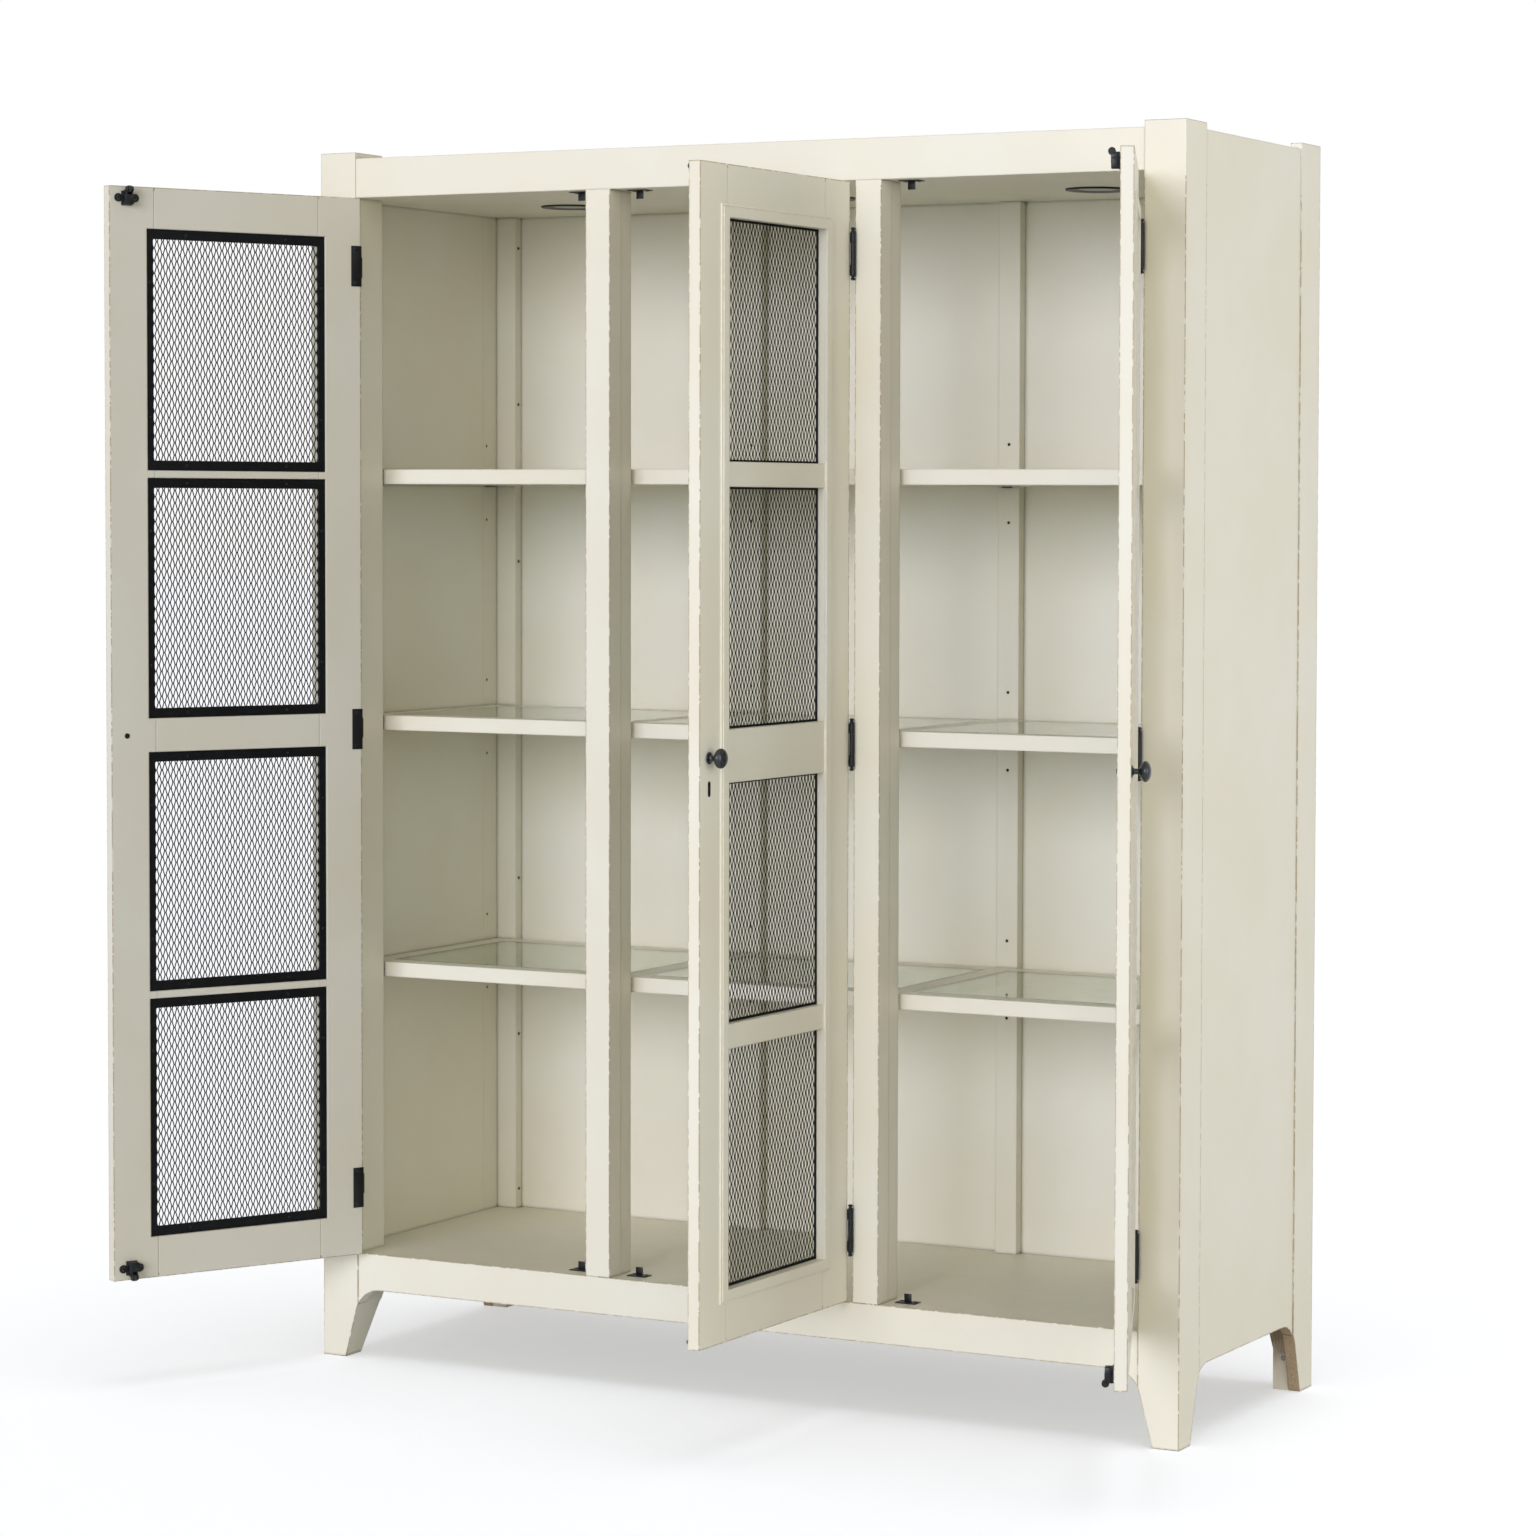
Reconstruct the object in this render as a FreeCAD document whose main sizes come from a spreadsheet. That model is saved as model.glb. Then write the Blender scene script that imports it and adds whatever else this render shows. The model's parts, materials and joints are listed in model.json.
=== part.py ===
"""Pie safe: a tall three-door cupboard with mesh doors, three glazed shelves and painted posts.

Millimetres. +Z is up and the doors face -Y. The origin is at floor level, in the plane of the
rear stiles' back faces, halfway across the width. Every size below is a cell of the document's
spreadsheet, and every piece is bound to those cells. Doors are drawn closed in their own hinge
coordinates (u along the door from the hinge axis, v inwards from its outer face) and each
door's Placement turns it about its hinge pins to the angle at which it stands open.
"""
import FreeCAD, Part
import Sketcher
import os
import re

SIZES = {
    # carcass
    "overall_width": 1600,          # across the outer faces of the posts
    "overall_depth": 540,           # from the front of the posts to the back of the rear stiles
    "post_height": 2045,            # floor to the bare top of the posts and rear stiles
    "post_width": 70,
    "post_depth": 78,
    "post_rise": 10,                # posts above the top rail, side panels and top board
    "top_rail_width": 66,
    "floor_line": 180,              # top of the bottom rail and of the floor board
    "apron_line": 118,              # straight underside of the rails and side panels
    "rail_thickness": 22,
    "rail_setback": 1,              # rails stand this far behind the front of the posts
    "side_thickness": 18,           # flush inside with the rear stiles, set back outside
    "rear_stile_thickness": 20,
    "rear_stile_width": 79,
    "mullion_width": 46,
    "mullion_front_depth": 35,
    "mullion_rear_depth": 33,
    "mullion_step": 1,              # the rear half is narrower by this on each side
    "floor_thickness": 18,
    "ceiling_thickness": 12,
    "top_thickness": 18,
    "back_thickness": 9,
    "back_inset": 7,                # back panels lie this far in front of the rear plane
    "batten_width": 40,
    "batten_thickness": 20,
    "rear_rail_thickness": 20,
    # joinery of rails and mullions
    "tenon_length": 25,
    "tenon_thickness": 8,
    "tenon_shoulder": 6,
    # feet
    "foot_width": 44.5,             # at the floor, seen from the front or the side
    "rear_foot_width": 50,
    "leg_slant": 15,                # degrees that the inner edge of a foot leans
    "arch_radius": 48,
    "foot_block_width": 28,
    "foot_block_height": 150,
    "block_screw_height": 52.6,
    "block_screw_inset": 10,
    "block_screw_radius": 4,
    "block_screw_head": 1.2,
    # shelves
    "upper_shelf_top": 1513,
    "middle_shelf_top": 1093,
    "lower_shelf_top": 670,
    "shelf_thickness": 25,
    "shelf_clearance": 3,           # to the side walls, front posts and rear battens
    "shelf_bar": 38,                # bar of a shelf frame as seen from above
    "glass_lip": 10,                # ledge under each edge of a pane
    "glass_thickness": 5,
    "glass_clearance": 0.5,
    # shelf supports and their holes
    "support_hole_radius": 2.5,
    "support_hole_depth": 12,
    "support_hole_pitch": 66,
    "support_hole_rise": 5,         # hole centre above the underside of its shelf
    "support_pin_length": 10,
    "support_pin_clearance": 0.05,
    "support_plate": 2,
    "support_width": 12,
    "support_height": 16,
    "support_reach": 12,            # ledge under the shelf
    "support_front": 125,           # front holes in the side panels, behind the posts' front
    "support_rear": 68,             # rear holes in the rear stiles, before the rear plane
    # ceiling lights
    "light_radius": 52,
    "light_ring_width": 12,
    "light_ring_height": 3,
    "light_lens_height": 2,
    "light_depth": 316,             # centre of each light behind the front of the posts
    # doors
    "door_gap": 3,                  # at each side of a closed door
    "door_top_gap": 2.5,
    "door_bottom_gap": 3,
    "door_thickness": 20,
    "door_stile": 78,
    "door_end_rail": 80,
    "door_thin_rail": 38,
    "door_lock_rail": 81,
    "door_tenon_length": 25,
    "door_tenon_thickness": 6,
    "door_tenon_inset": 3,
    "door_tenon_shoulder": 6,
    "moulding_width": 20,
    "moulding_height": 4.5,
    "moulding_bead": 1.5,
    "moulding_bead_width": 4,
    "rabbet_depth": 8,
    "rabbet_width": 13,
    "mesh_frame_clearance": 0.4,
    "mesh_frame_bar": 12,
    "mesh_frame_thickness": 4,
    "mesh_thickness": 1.2,
    "mesh_strand": 3.5,
    "mesh_cell_width": 26.5,
    "mesh_cell_height": 54,
    "left_door_angle": 117.8,       # degrees that each door stands open
    "middle_door_angle": 89,
    "right_door_angle": 113.8,
    # knobs and keyhole
    "knob_edge": 27,                # knob centre from the door's free edge
    "knob_radius": 15.25,
    "knob_half_length": 8.5,
    "knob_reach": 20.5,             # centre of the knob's head in front of the door
    "knob_rose_radius": 9.2,
    "knob_rose_height": 3,
    "knob_neck_radius": 4,
    "knob_stud_radius": 2.5,
    "knob_screw_radius": 4.5,
    "knob_screw_head": 1.5,
    "keyhole_drop": 36,             # top of the keyhole below the knob's centre
    "keyhole_height": 21,
    "keyhole_width": 4.6,
    "keyhole_radius": 3.3,
    "keyhole_depth": 8,
    # hinges
    "barrel_radius": 4,
    "barrel_offset": 5,             # pin centre in front of the door's outer face
    "hinge_height": 68,
    "hinge_middle": 34,             # length of the middle knuckle and of the frame leaf
    "hinge_gap": 0.15,              # between knuckles
    "hinge_leaf": 1.4,
    "hinge_frame_reach": 18,
    "hinge_wrap": 19,
    "hinge_pin_radius": 2,
    "hinge_pin_clearance": 0.05,
    "finial_length": 8,
    "hinge_inset": 114,             # outer hinges' centres from the ends of the door
    "hinge_screw_radius": 3.4,
    "hinge_screw_head": 1,
    "hinge_screw_inset": 12,
    # roller catches and strikes
    "catch_edge": 30,               # catch centre from the door's free edge
    "catch_plate_width": 36,
    "catch_plate_height": 24,
    "catch_plate": 2,
    "catch_inset": 7.5,             # arm's outer end from the end of the door
    "catch_arm_width": 10,
    "catch_arm_depth": 14,
    "catch_arm_height": 23,
    "catch_ear_radius": 3.5,
    "roller_radius": 5.7,
    "roller_width": 6.4,
    "roller_inset": 5.4,            # roller centre from the end of the door
    "roller_depth": 12.5,           # roller centre behind the door's inner face
    "roller_side_gap": 0.3,
    "roller_clearance": 0.6,        # around the rim, in the arm's slot
    "axle_radius": 1.5,
    "axle_clearance": 0.05,
    "strike_width": 36,
    "strike_depth": 22,
    "strike_plate": 1.5,
    "strike_front": 29,             # front edge of a strike behind the front of the posts
    "strike_lug_width": 13,
    "strike_lug_height": 13,
    "strike_lug_gap": 1.2,          # from the roller of a closed door to the lug
    "strike_lug": 2,
}

doc = FreeCAD.newDocument("pie_safe")
sheet = doc.addObject("Spreadsheet::Sheet", "Sizes")
for row, (alias, size) in enumerate(SIZES.items(), start=1):
    sheet.set(f"A{row}", alias)
    sheet.set(f"B{row}", str(size))
    sheet.setAlias(f"B{row}", alias)
doc.recompute()

X_AXIS, Y_AXIS, Z_AXIS = FreeCAD.Vector(1, 0, 0), FreeCAD.Vector(0, 1, 0), FreeCAD.Vector(0, 0, 1)
TURNS = {
    "x": FreeCAD.Rotation(Y_AXIS, 90),
    "y": FreeCAD.Rotation(X_AXIS, -90),
    "z": FreeCAD.Rotation(),
}
AXIS_NAMES = ("x", "y", "z")
nodes = []


# ---------------------------------------------------------------- binding sizes to the sheet

def sized(expression):
    """Point every size word of an expression at its cell."""
    def cell(word):
        return f"Sizes.{word.group()}" if word.group() in SIZES else word.group()
    return re.sub(r"[a-z_]{3,}", cell, str(expression))


def number(expression):
    """Work an expression out as a plain number, for shapes made in code."""
    value = sheet.evalExpression(sized(expression))
    return float(getattr(value, "Value", value))


def bind(piece, names, values):
    for name, value in zip(names, values):
        piece.setExpression(name, sized(value))


def place(piece, corner):
    bind(piece, [f"Placement.Base.{axis}" for axis in AXIS_NAMES], corner)


def opposite(value):
    return f"-({value})"


# ---------------------------------------------------------------- primitives and booleans

def box(name, corner, size):
    piece = doc.addObject("Part::Box", name)
    bind(piece, ("Length", "Width", "Height"), size)
    place(piece, corner)
    return piece


def rod(name, start, radius, length, along):
    """A cylinder from its start point along +x, +y or +z."""
    piece = doc.addObject("Part::Cylinder", name)
    piece.Placement = FreeCAD.Placement(FreeCAD.Vector(), TURNS[along])
    bind(piece, ("Radius", "Height"), (radius, length))
    place(piece, start)
    return piece


def fuse(name, pieces):
    joined = doc.addObject("Part::MultiFuse", name)
    joined.Shapes = pieces
    joined.Refine = True
    return joined


def cut(name, base, tools):
    """Cut the tools from the base, one after another."""
    for order, tool in enumerate(tools):
        result = doc.addObject("Part::Cut", f"{name}_cut_{order}")
        result.Base = base
        result.Tool = tool
        base = result
    return base


def node(label, pieces, carrier=None):
    """Collect the solids of one sub-part and stand it where its carrier stands."""
    part = doc.addObject("Part::Compound", label)
    part.Label = label
    part.Links = pieces
    if carrier is not None:
        carrier.carry(part)
    nodes.append(part)
    return part


# ---------------------------------------------------------------- places named once

LEFT = "(-overall_width / 2)"
RIGHT = "(overall_width / 2)"
FRONT = "(-overall_depth)"
TOP_LINE = "(post_height - post_rise)"
CEILING = f"({TOP_LINE} - top_rail_width)"
BAY = "((overall_width - 2 * post_width - 2 * mullion_width) / 3)"
RAIL_BACK = f"({FRONT} + rail_setback + rail_thickness)"
LEFT_WALL = f"({LEFT} + rear_stile_thickness)"
RIGHT_WALL = f"({RIGHT} - rear_stile_thickness)"
INNER_WIDTH = "(overall_width - 2 * rear_stile_thickness)"
BACK_FRONT = "(-back_inset - back_thickness)"
BATTEN_FRONT = f"({BACK_FRONT} - batten_thickness)"
REAR_RAIL_FRONT = "(-rear_rail_thickness)"
MULLION_DEPTH = "(mullion_front_depth + mullion_rear_depth)"
SHELVES = ("upper", "middle", "lower")
BELOW_FLOOR = 10


def bay_left(bay):
    return f"({LEFT} + post_width + {bay} * ({BAY} + mullion_width))"


def mullion_left(bay):
    return f"({bay_left(bay)} + {BAY})"


def bay_centre(bay):
    return f"({bay_left(bay)} + {BAY} / 2)"


def mullion_centre(bay):
    return f"({mullion_left(bay)} + mullion_width / 2)"


# ---------------------------------------------------------------- arches between the feet

def origin_plane(body, role):
    return next(plane for plane in body.Origin.OriginFeatures if plane.Role == role)


def outline(body, role, corners):
    """A closed sketch on an origin plane, each corner held by its two distances."""
    sketch = body.newObject("Sketcher::SketchObject", f"{body.Name}_sketch")
    sketch.AttachmentSupport = [(origin_plane(body, role), "")]
    sketch.MapMode = "FlatFace"
    points = [FreeCAD.Vector(number(across), number(up), 0) for across, up in corners]
    count = len(points)
    for index, start in enumerate(points):
        sketch.addGeometry(Part.LineSegment(start, points[(index + 1) % count]), False)
    for index in range(count):
        sketch.addConstraint(Sketcher.Constraint("Coincident", index, 2, (index + 1) % count, 1))
    for index, (across, up) in enumerate(corners):
        for kind, value in (("DistanceX", across), ("DistanceY", up)):
            held = Sketcher.Constraint(kind, -1, 1, index, 1, number(value))
            order = sketch.addConstraint(held)
            sketch.renameConstraint(order, f"{kind}{index}")
            sketch.setExpression(f"Constraints.{kind}{index}", sized(value))
    return sketch


def arch(name, role, low, high, reach):
    """The opening between two feet: slanting sides, a straight top and round upper corners."""
    body = doc.addObject("PartDesign::Body", name)
    lean = "tan(leg_slant)"
    corners = [
        (f"{low} - {BELOW_FLOOR} * {lean}", f"-{BELOW_FLOOR}"),
        (f"{high} + {BELOW_FLOOR} * {lean}", f"-{BELOW_FLOOR}"),
        (f"{high} - apron_line * {lean}", "apron_line"),
        (f"{low} + apron_line * {lean}", "apron_line"),
    ]
    pad = body.newObject("PartDesign::Pad", f"{name}_pad")
    pad.Profile = outline(body, role, corners)
    pad.SideType = "Symmetric"
    pad.setExpression("Length", sized(reach))
    doc.recompute()
    rounding = body.newObject("PartDesign::Fillet", f"{name}_corners")
    rounding.Base = (pad, upper_edges(pad.Shape, Y_AXIS if role == "XZ_Plane" else X_AXIS))
    rounding.setExpression("Radius", sized("arch_radius"))
    return body


def upper_edges(shape, along):
    """Names of the edges at the top of an arch that run in its own direction."""
    top = shape.BoundBox.ZMax
    names = []
    for order, edge in enumerate(shape.Edges, start=1):
        is_high = edge.BoundBox.ZMin > top - 1
        if is_high and edge.tangentAt(edge.FirstParameter).cross(along).Length < 0.01:
            names.append(f"Edge{order}")
    return names


front_arch = arch("front_arch", "XZ_Plane", f"{LEFT} + foot_width", f"{RIGHT} - foot_width",
                  "4 * overall_depth")
side_arch = arch("side_arch", "YZ_Plane", f"{FRONT} + foot_width", "-rear_foot_width",
                 "2 * overall_width")


# ---------------------------------------------------------------- support holes and pins

SUPPORT_Z = {
    shelf: f"({shelf}_shelf_top - shelf_thickness + support_hole_rise)" for shelf in SHELVES
}


def hole_column(name, across, face, along):
    """Three holes round the level of each shelf; face is where the holes start."""
    holes = []
    for shelf in SHELVES:
        for step in (-1, 0, 1):
            level = f"{SUPPORT_Z[shelf]} + {step} * support_hole_pitch"
            start = (face, across, level) if along == "x" else (across, face, level)
            hole = rod(f"{name}_{shelf}_{step + 1}", start, "support_hole_radius",
                       "support_hole_depth", along)
            holes.append(hole)
    group = doc.addObject("Part::Compound", name)
    group.Links = holes
    return group


def support(name, across, face, level, along, way, reach):
    """A pin in the wall, a plate on the wall and a ledge under the shelf, all one piece.

    along is the pin's direction and way is +1 where the shelf lies on the positive side.
    """
    def spot(depth, length):
        return f"{face} + {depth}" if way > 0 else f"{face} - {depth} - {length}"

    def put(depth, side, height):
        return (depth, side, height) if along == "x" else (side, depth, height)

    low = f"{level} - support_hole_rise"
    side = f"{across} - support_width / 2"
    pin = rod(f"{name}_pin", put(spot("(-support_pin_length)", "support_pin_length"), across, level),
              "support_hole_radius - support_pin_clearance", "support_pin_length", along)
    plate = box(f"{name}_plate", put(spot(0, "support_plate"), side, f"{low} - support_plate"),
                put("support_plate", "support_width", "support_height"))
    ledge = box(f"{name}_ledge", put(spot(0, reach), side, f"{low} - support_plate"),
                put(reach, "support_width", "support_plate"))
    return fuse(name, [pin, plate, ledge])


MULLION_BACK = f"({FRONT} + {MULLION_DEPTH})"
SIDE_REACH = "(shelf_clearance + support_reach)"
MULLION_REACH = f"(post_depth - {MULLION_DEPTH} + {SIDE_REACH})"
FRONT_HOLES = f"({FRONT} + support_front)"
REAR_HOLES = "(-support_rear)"

left_front_holes = hole_column("left_front_holes", FRONT_HOLES,
                               f"{LEFT_WALL} - support_hole_depth", "x")
left_rear_holes = hole_column("left_rear_holes", REAR_HOLES,
                              f"{LEFT_WALL} - support_hole_depth", "x")
right_front_holes = hole_column("right_front_holes", FRONT_HOLES, RIGHT_WALL, "x")
right_rear_holes = hole_column("right_rear_holes", REAR_HOLES, RIGHT_WALL, "x")
batten_holes = [hole_column(f"batten_holes_{bay}", mullion_centre(bay), BATTEN_FRONT, "y")
                for bay in (0, 1)]
mullion_holes = [hole_column(f"mullion_holes_{bay}", mullion_centre(bay),
                             f"{MULLION_BACK} - support_hole_depth", "y")
                 for bay in (0, 1)]


# ---------------------------------------------------------------- carcass

TENON_FRONT = f"({FRONT} + rail_setback + (rail_thickness - tenon_thickness) / 2)"
OPENING_WIDTH = "(overall_width - 2 * post_width)"


def tenons(name, low, high):
    """Tenons of a front rail between two heights, reaching into both posts."""
    size = ("tenon_length", "tenon_thickness", f"{high} - {low} - 2 * tenon_shoulder")
    ends = (f"{LEFT} + post_width - tenon_length", f"{RIGHT} - post_width")
    return [box(f"{name}_tenon_{order}", (end, TENON_FRONT, f"{low} + tenon_shoulder"), size)
            for order, end in enumerate(ends)]


def mullion_tenon(name, bay, level):
    size = ("mullion_width - 2 * tenon_shoulder", "tenon_thickness", "tenon_length")
    return box(name, (f"{mullion_left(bay)} + tenon_shoulder", TENON_FRONT, level), size)


top_tenons = [mullion_tenon(f"mullion_{bay}_top_tenon", bay, CEILING) for bay in (0, 1)]
low_tenons = [mullion_tenon(f"mullion_{bay}_low_tenon", bay, "floor_line - tenon_length")
              for bay in (0, 1)]
top_rail_tenons = tenons("top_rail", CEILING, TOP_LINE)
bottom_rail_tenons = tenons("bottom_rail", "apron_line", "floor_line")

top_rail = fuse("top_rail_blank", [
    box("top_rail_bar", (f"{LEFT} + post_width", f"{FRONT} + rail_setback", CEILING),
        (OPENING_WIDTH, "rail_thickness", "top_rail_width")),
    *top_rail_tenons,
])
node("top_rail", [cut("top_rail", top_rail, top_tenons)])

bottom_bar = box("bottom_rail_bar", (f"{LEFT} + post_width", f"{FRONT} + rail_setback", 0),
                 (OPENING_WIDTH, "rail_thickness", "floor_line"))
bottom_rail = fuse("bottom_rail_blank", [cut("bottom_arched", bottom_bar, [front_arch])]
                   + bottom_rail_tenons)
node("bottom_rail", [cut("bottom_rail", bottom_rail, low_tenons)])


def front_post(side, corner_x, order):
    blank = box(f"{side}_post_blank", (corner_x, FRONT, 0),
                ("post_width", "post_depth", "post_height"))
    mortises = [top_rail_tenons[order], bottom_rail_tenons[order]]
    node(f"front_{side}_post", [cut(f"{side}_post", blank, [front_arch, side_arch, *mortises])])


front_post("left", LEFT, 0)
front_post("right", f"{RIGHT} - post_width", 1)


def side_wall(side, panel_x, stile_x, front_holes, rear_holes):
    """The side panel and the rear stile behind it, arched together at the foot."""
    seam = "(-rear_stile_width)"
    panel = box(f"{side}_panel_blank", (panel_x, f"{FRONT} + post_depth", 0),
                ("side_thickness", "overall_depth - post_depth - rear_stile_width", TOP_LINE))
    stile = box(f"{side}_stile_blank", (stile_x, seam, 0),
                ("rear_stile_thickness", "rear_stile_width", "post_height"))
    node(f"{side}_side_panel", [cut(f"{side}_panel", panel, [side_arch, front_holes])])
    node(f"rear_{side}_stile", [cut(f"{side}_stile", stile, [side_arch, rear_holes])])


side_wall("left", f"{LEFT_WALL} - side_thickness", LEFT, left_front_holes, left_rear_holes)
side_wall("right", RIGHT_WALL, RIGHT_WALL, right_front_holes, right_rear_holes)

MULLION_HEIGHT = f"({CEILING} - floor_line)"


def mullion(side, bay):
    """A front half, a slightly narrower rear half, and a tenon at each end."""
    front = box(f"{side}_mullion_front", (mullion_left(bay), FRONT, "floor_line"),
                ("mullion_width", "mullion_front_depth", MULLION_HEIGHT))
    rear = box(f"{side}_mullion_rear",
               (f"{mullion_left(bay)} + mullion_step", f"{FRONT} + mullion_front_depth", "floor_line"),
               ("mullion_width - 2 * mullion_step", "mullion_rear_depth", MULLION_HEIGHT))
    blank = fuse(f"{side}_mullion_blank", [front, rear, top_tenons[bay], low_tenons[bay]])
    node(f"{side}_mullion", [cut(f"{side}_mullion", blank, [mullion_holes[bay]])])


mullion("left", 0)
mullion("right", 1)


def board(name, low, thickness, front, back, extra_cuts=()):
    """A board between the side walls, notched round the front posts."""
    blank = box(f"{name}_blank", (LEFT_WALL, front, low), (INNER_WIDTH, f"{back} - {front}", thickness))
    notches = [
        box(f"{name}_notch_{order}", (corner, FRONT, low), ("post_width", "post_depth", thickness))
        for order, corner in enumerate((LEFT, f"{RIGHT} - post_width"))
    ]
    node(name, [cut(name, blank, [*notches, *extra_cuts])])


board("top_board", f"{TOP_LINE} - top_thickness", "top_thickness", RAIL_BACK, "0")
board("ceiling_board", CEILING, "ceiling_thickness", RAIL_BACK, BACK_FRONT)
board("floor_board", "floor_line - floor_thickness", "floor_thickness", RAIL_BACK, BACK_FRONT)

BACK_LOW = "(floor_line - floor_thickness)"
BACK_HEIGHT = f"({CEILING} + ceiling_thickness - {BACK_LOW})"
back_joints = [LEFT_WALL, mullion_centre(0), mullion_centre(1), RIGHT_WALL]
node("back_panels", [
    box(f"back_panel_{order}", (left, BACK_FRONT, BACK_LOW),
        (f"{right} - {left}", "back_thickness", BACK_HEIGHT))
    for order, (left, right) in enumerate(zip(back_joints, back_joints[1:]))
])

batten_size = ("batten_width", "batten_thickness", MULLION_HEIGHT)


def batten(name, left):
    return box(name, (left, BATTEN_FRONT, "floor_line"), batten_size)


middle_battens = [
    cut(f"middle_batten_{bay}", batten(f"middle_batten_{bay}", f"{mullion_centre(bay)} - batten_width / 2"),
        [batten_holes[bay]])
    for bay in (0, 1)
]
node("rear_battens", [
    batten("left_corner_batten", LEFT_WALL),
    *middle_battens,
    batten("right_corner_batten", f"{RIGHT_WALL} - batten_width"),
])

rear_top_rail = box("rear_top_rail", (LEFT_WALL, REAR_RAIL_FRONT, f"{CEILING} + ceiling_thickness"),
                    (INNER_WIDTH, "rear_rail_thickness",
                     "top_rail_width - ceiling_thickness - top_thickness"))
rear_low_bar = box("rear_low_bar", (LEFT_WALL, REAR_RAIL_FRONT, 0),
                   (INNER_WIDTH, "rear_rail_thickness", BACK_LOW))
node("rear_rails", [rear_top_rail, cut("rear_bottom_rail", rear_low_bar, [front_arch])])

BLOCK_DEPTH = "(rear_foot_width - rear_rail_thickness)"
block_lefts = (LEFT_WALL, f"{RIGHT_WALL} - foot_block_width")
node("rear_foot_blocks", [
    box(f"foot_block_{order}", (left, "-rear_foot_width", 0),
        ("foot_block_width", BLOCK_DEPTH, "foot_block_height"))
    for order, left in enumerate(block_lefts)
])
screw_centres = (f"{LEFT_WALL} + block_screw_inset", f"{RIGHT_WALL} - block_screw_inset")
node("foot_block_screws", [
    rod(f"block_screw_{order}", (centre, "-rear_foot_width - block_screw_head", "block_screw_height"),
        "block_screw_radius", "block_screw_head", "y")
    for order, centre in enumerate(screw_centres)
])


# ---------------------------------------------------------------- shelves and their supports

SHELF_LEFT = f"({LEFT_WALL} + shelf_clearance)"
SHELF_RIGHT = f"({RIGHT_WALL} - shelf_clearance)"
SHELF_FRONT = f"({FRONT} + post_depth + shelf_clearance)"
SHELF_BACK = f"({BATTEN_FRONT} - shelf_clearance)"
SHELF_WIDTH = f"({SHELF_RIGHT} - {SHELF_LEFT})"
SIDE_BAR = "(shelf_bar + glass_lip)"
CROSS_BAR = "(shelf_bar + 2 * glass_lip)"
PANE_FRONT = f"({SHELF_FRONT} + shelf_bar)"
PANE_DEPTH = f"({SHELF_BACK} - {SHELF_FRONT} - 2 * shelf_bar)"


def pane_edges(bay):
    """Left and right edge of the recess that holds a pane."""
    left = f"({SHELF_LEFT} + shelf_bar)" if bay == 0 else f"({mullion_centre(bay - 1)} + shelf_bar / 2)"
    right = f"({SHELF_RIGHT} - shelf_bar)" if bay == 2 else f"({mullion_centre(bay)} - shelf_bar / 2)"
    return left, right


def shelf_frame(shelf):
    """Front and back rails with four cross bars between them, recessed for three panes."""
    top = f"{shelf}_shelf_top"
    low = f"{top} - shelf_thickness"
    recesses = []
    for bay in range(3):
        left, right = pane_edges(bay)
        recess = box(f"{shelf}_recess_{bay}", (left, PANE_FRONT, f"{top} - glass_thickness"),
                     (f"{right} - {left}", PANE_DEPTH, "glass_thickness"))
        recesses.append(recess)
    between = f"({SHELF_BACK} - {SHELF_FRONT} - 2 * {SIDE_BAR})"
    bars = [
        ("front", SHELF_LEFT, SHELF_FRONT, SHELF_WIDTH, SIDE_BAR),
        ("back", SHELF_LEFT, f"{SHELF_BACK} - {SIDE_BAR}", SHELF_WIDTH, SIDE_BAR),
        ("left", SHELF_LEFT, f"{SHELF_FRONT} + {SIDE_BAR}", SIDE_BAR, between),
        ("inner_left", f"{mullion_centre(0)} - {CROSS_BAR} / 2", f"{SHELF_FRONT} + {SIDE_BAR}",
         CROSS_BAR, between),
        ("inner_right", f"{mullion_centre(1)} - {CROSS_BAR} / 2", f"{SHELF_FRONT} + {SIDE_BAR}",
         CROSS_BAR, between),
        ("right", f"{SHELF_RIGHT} - {SIDE_BAR}", f"{SHELF_FRONT} + {SIDE_BAR}", SIDE_BAR, between),
    ]
    pieces = []
    for name, left, front, width, depth in bars:
        bar = box(f"{shelf}_{name}_bar", (left, front, low), (width, depth, "shelf_thickness"))
        pieces.append(cut(f"{shelf}_{name}", bar, recesses))
    node(f"{shelf}_shelf_frame", pieces)


panes = []
supports = []
for shelf in SHELVES:
    shelf_frame(shelf)
    for bay in range(3):
        left, right = pane_edges(bay)
        pane = box(f"{shelf}_pane_{bay}",
                   (f"{left} + glass_clearance", f"{PANE_FRONT} + glass_clearance",
                    f"{shelf}_shelf_top - glass_thickness"),
                   (f"{right} - {left} - 2 * glass_clearance", f"{PANE_DEPTH} - 2 * glass_clearance",
                    "glass_thickness"))
        panes.append(pane)
    level = SUPPORT_Z[shelf]
    places = [
        ("left_front", FRONT_HOLES, LEFT_WALL, "x", 1, SIDE_REACH),
        ("left_rear", REAR_HOLES, LEFT_WALL, "x", 1, SIDE_REACH),
        ("right_front", FRONT_HOLES, RIGHT_WALL, "x", -1, SIDE_REACH),
        ("right_rear", REAR_HOLES, RIGHT_WALL, "x", -1, SIDE_REACH),
    ]
    for bay in (0, 1):
        places.append((f"batten_{bay}", mullion_centre(bay), BATTEN_FRONT, "y", -1, SIDE_REACH))
        places.append((f"mullion_{bay}", mullion_centre(bay), MULLION_BACK, "y", 1, MULLION_REACH))
    for name, across, face, along, way, reach in places:
        supports.append(support(f"{shelf}_{name}_support", across, face, level, along, way, reach))
node("shelf_glass", panes)
node("shelf_supports", supports)


# ---------------------------------------------------------------- ceiling lights

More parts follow.
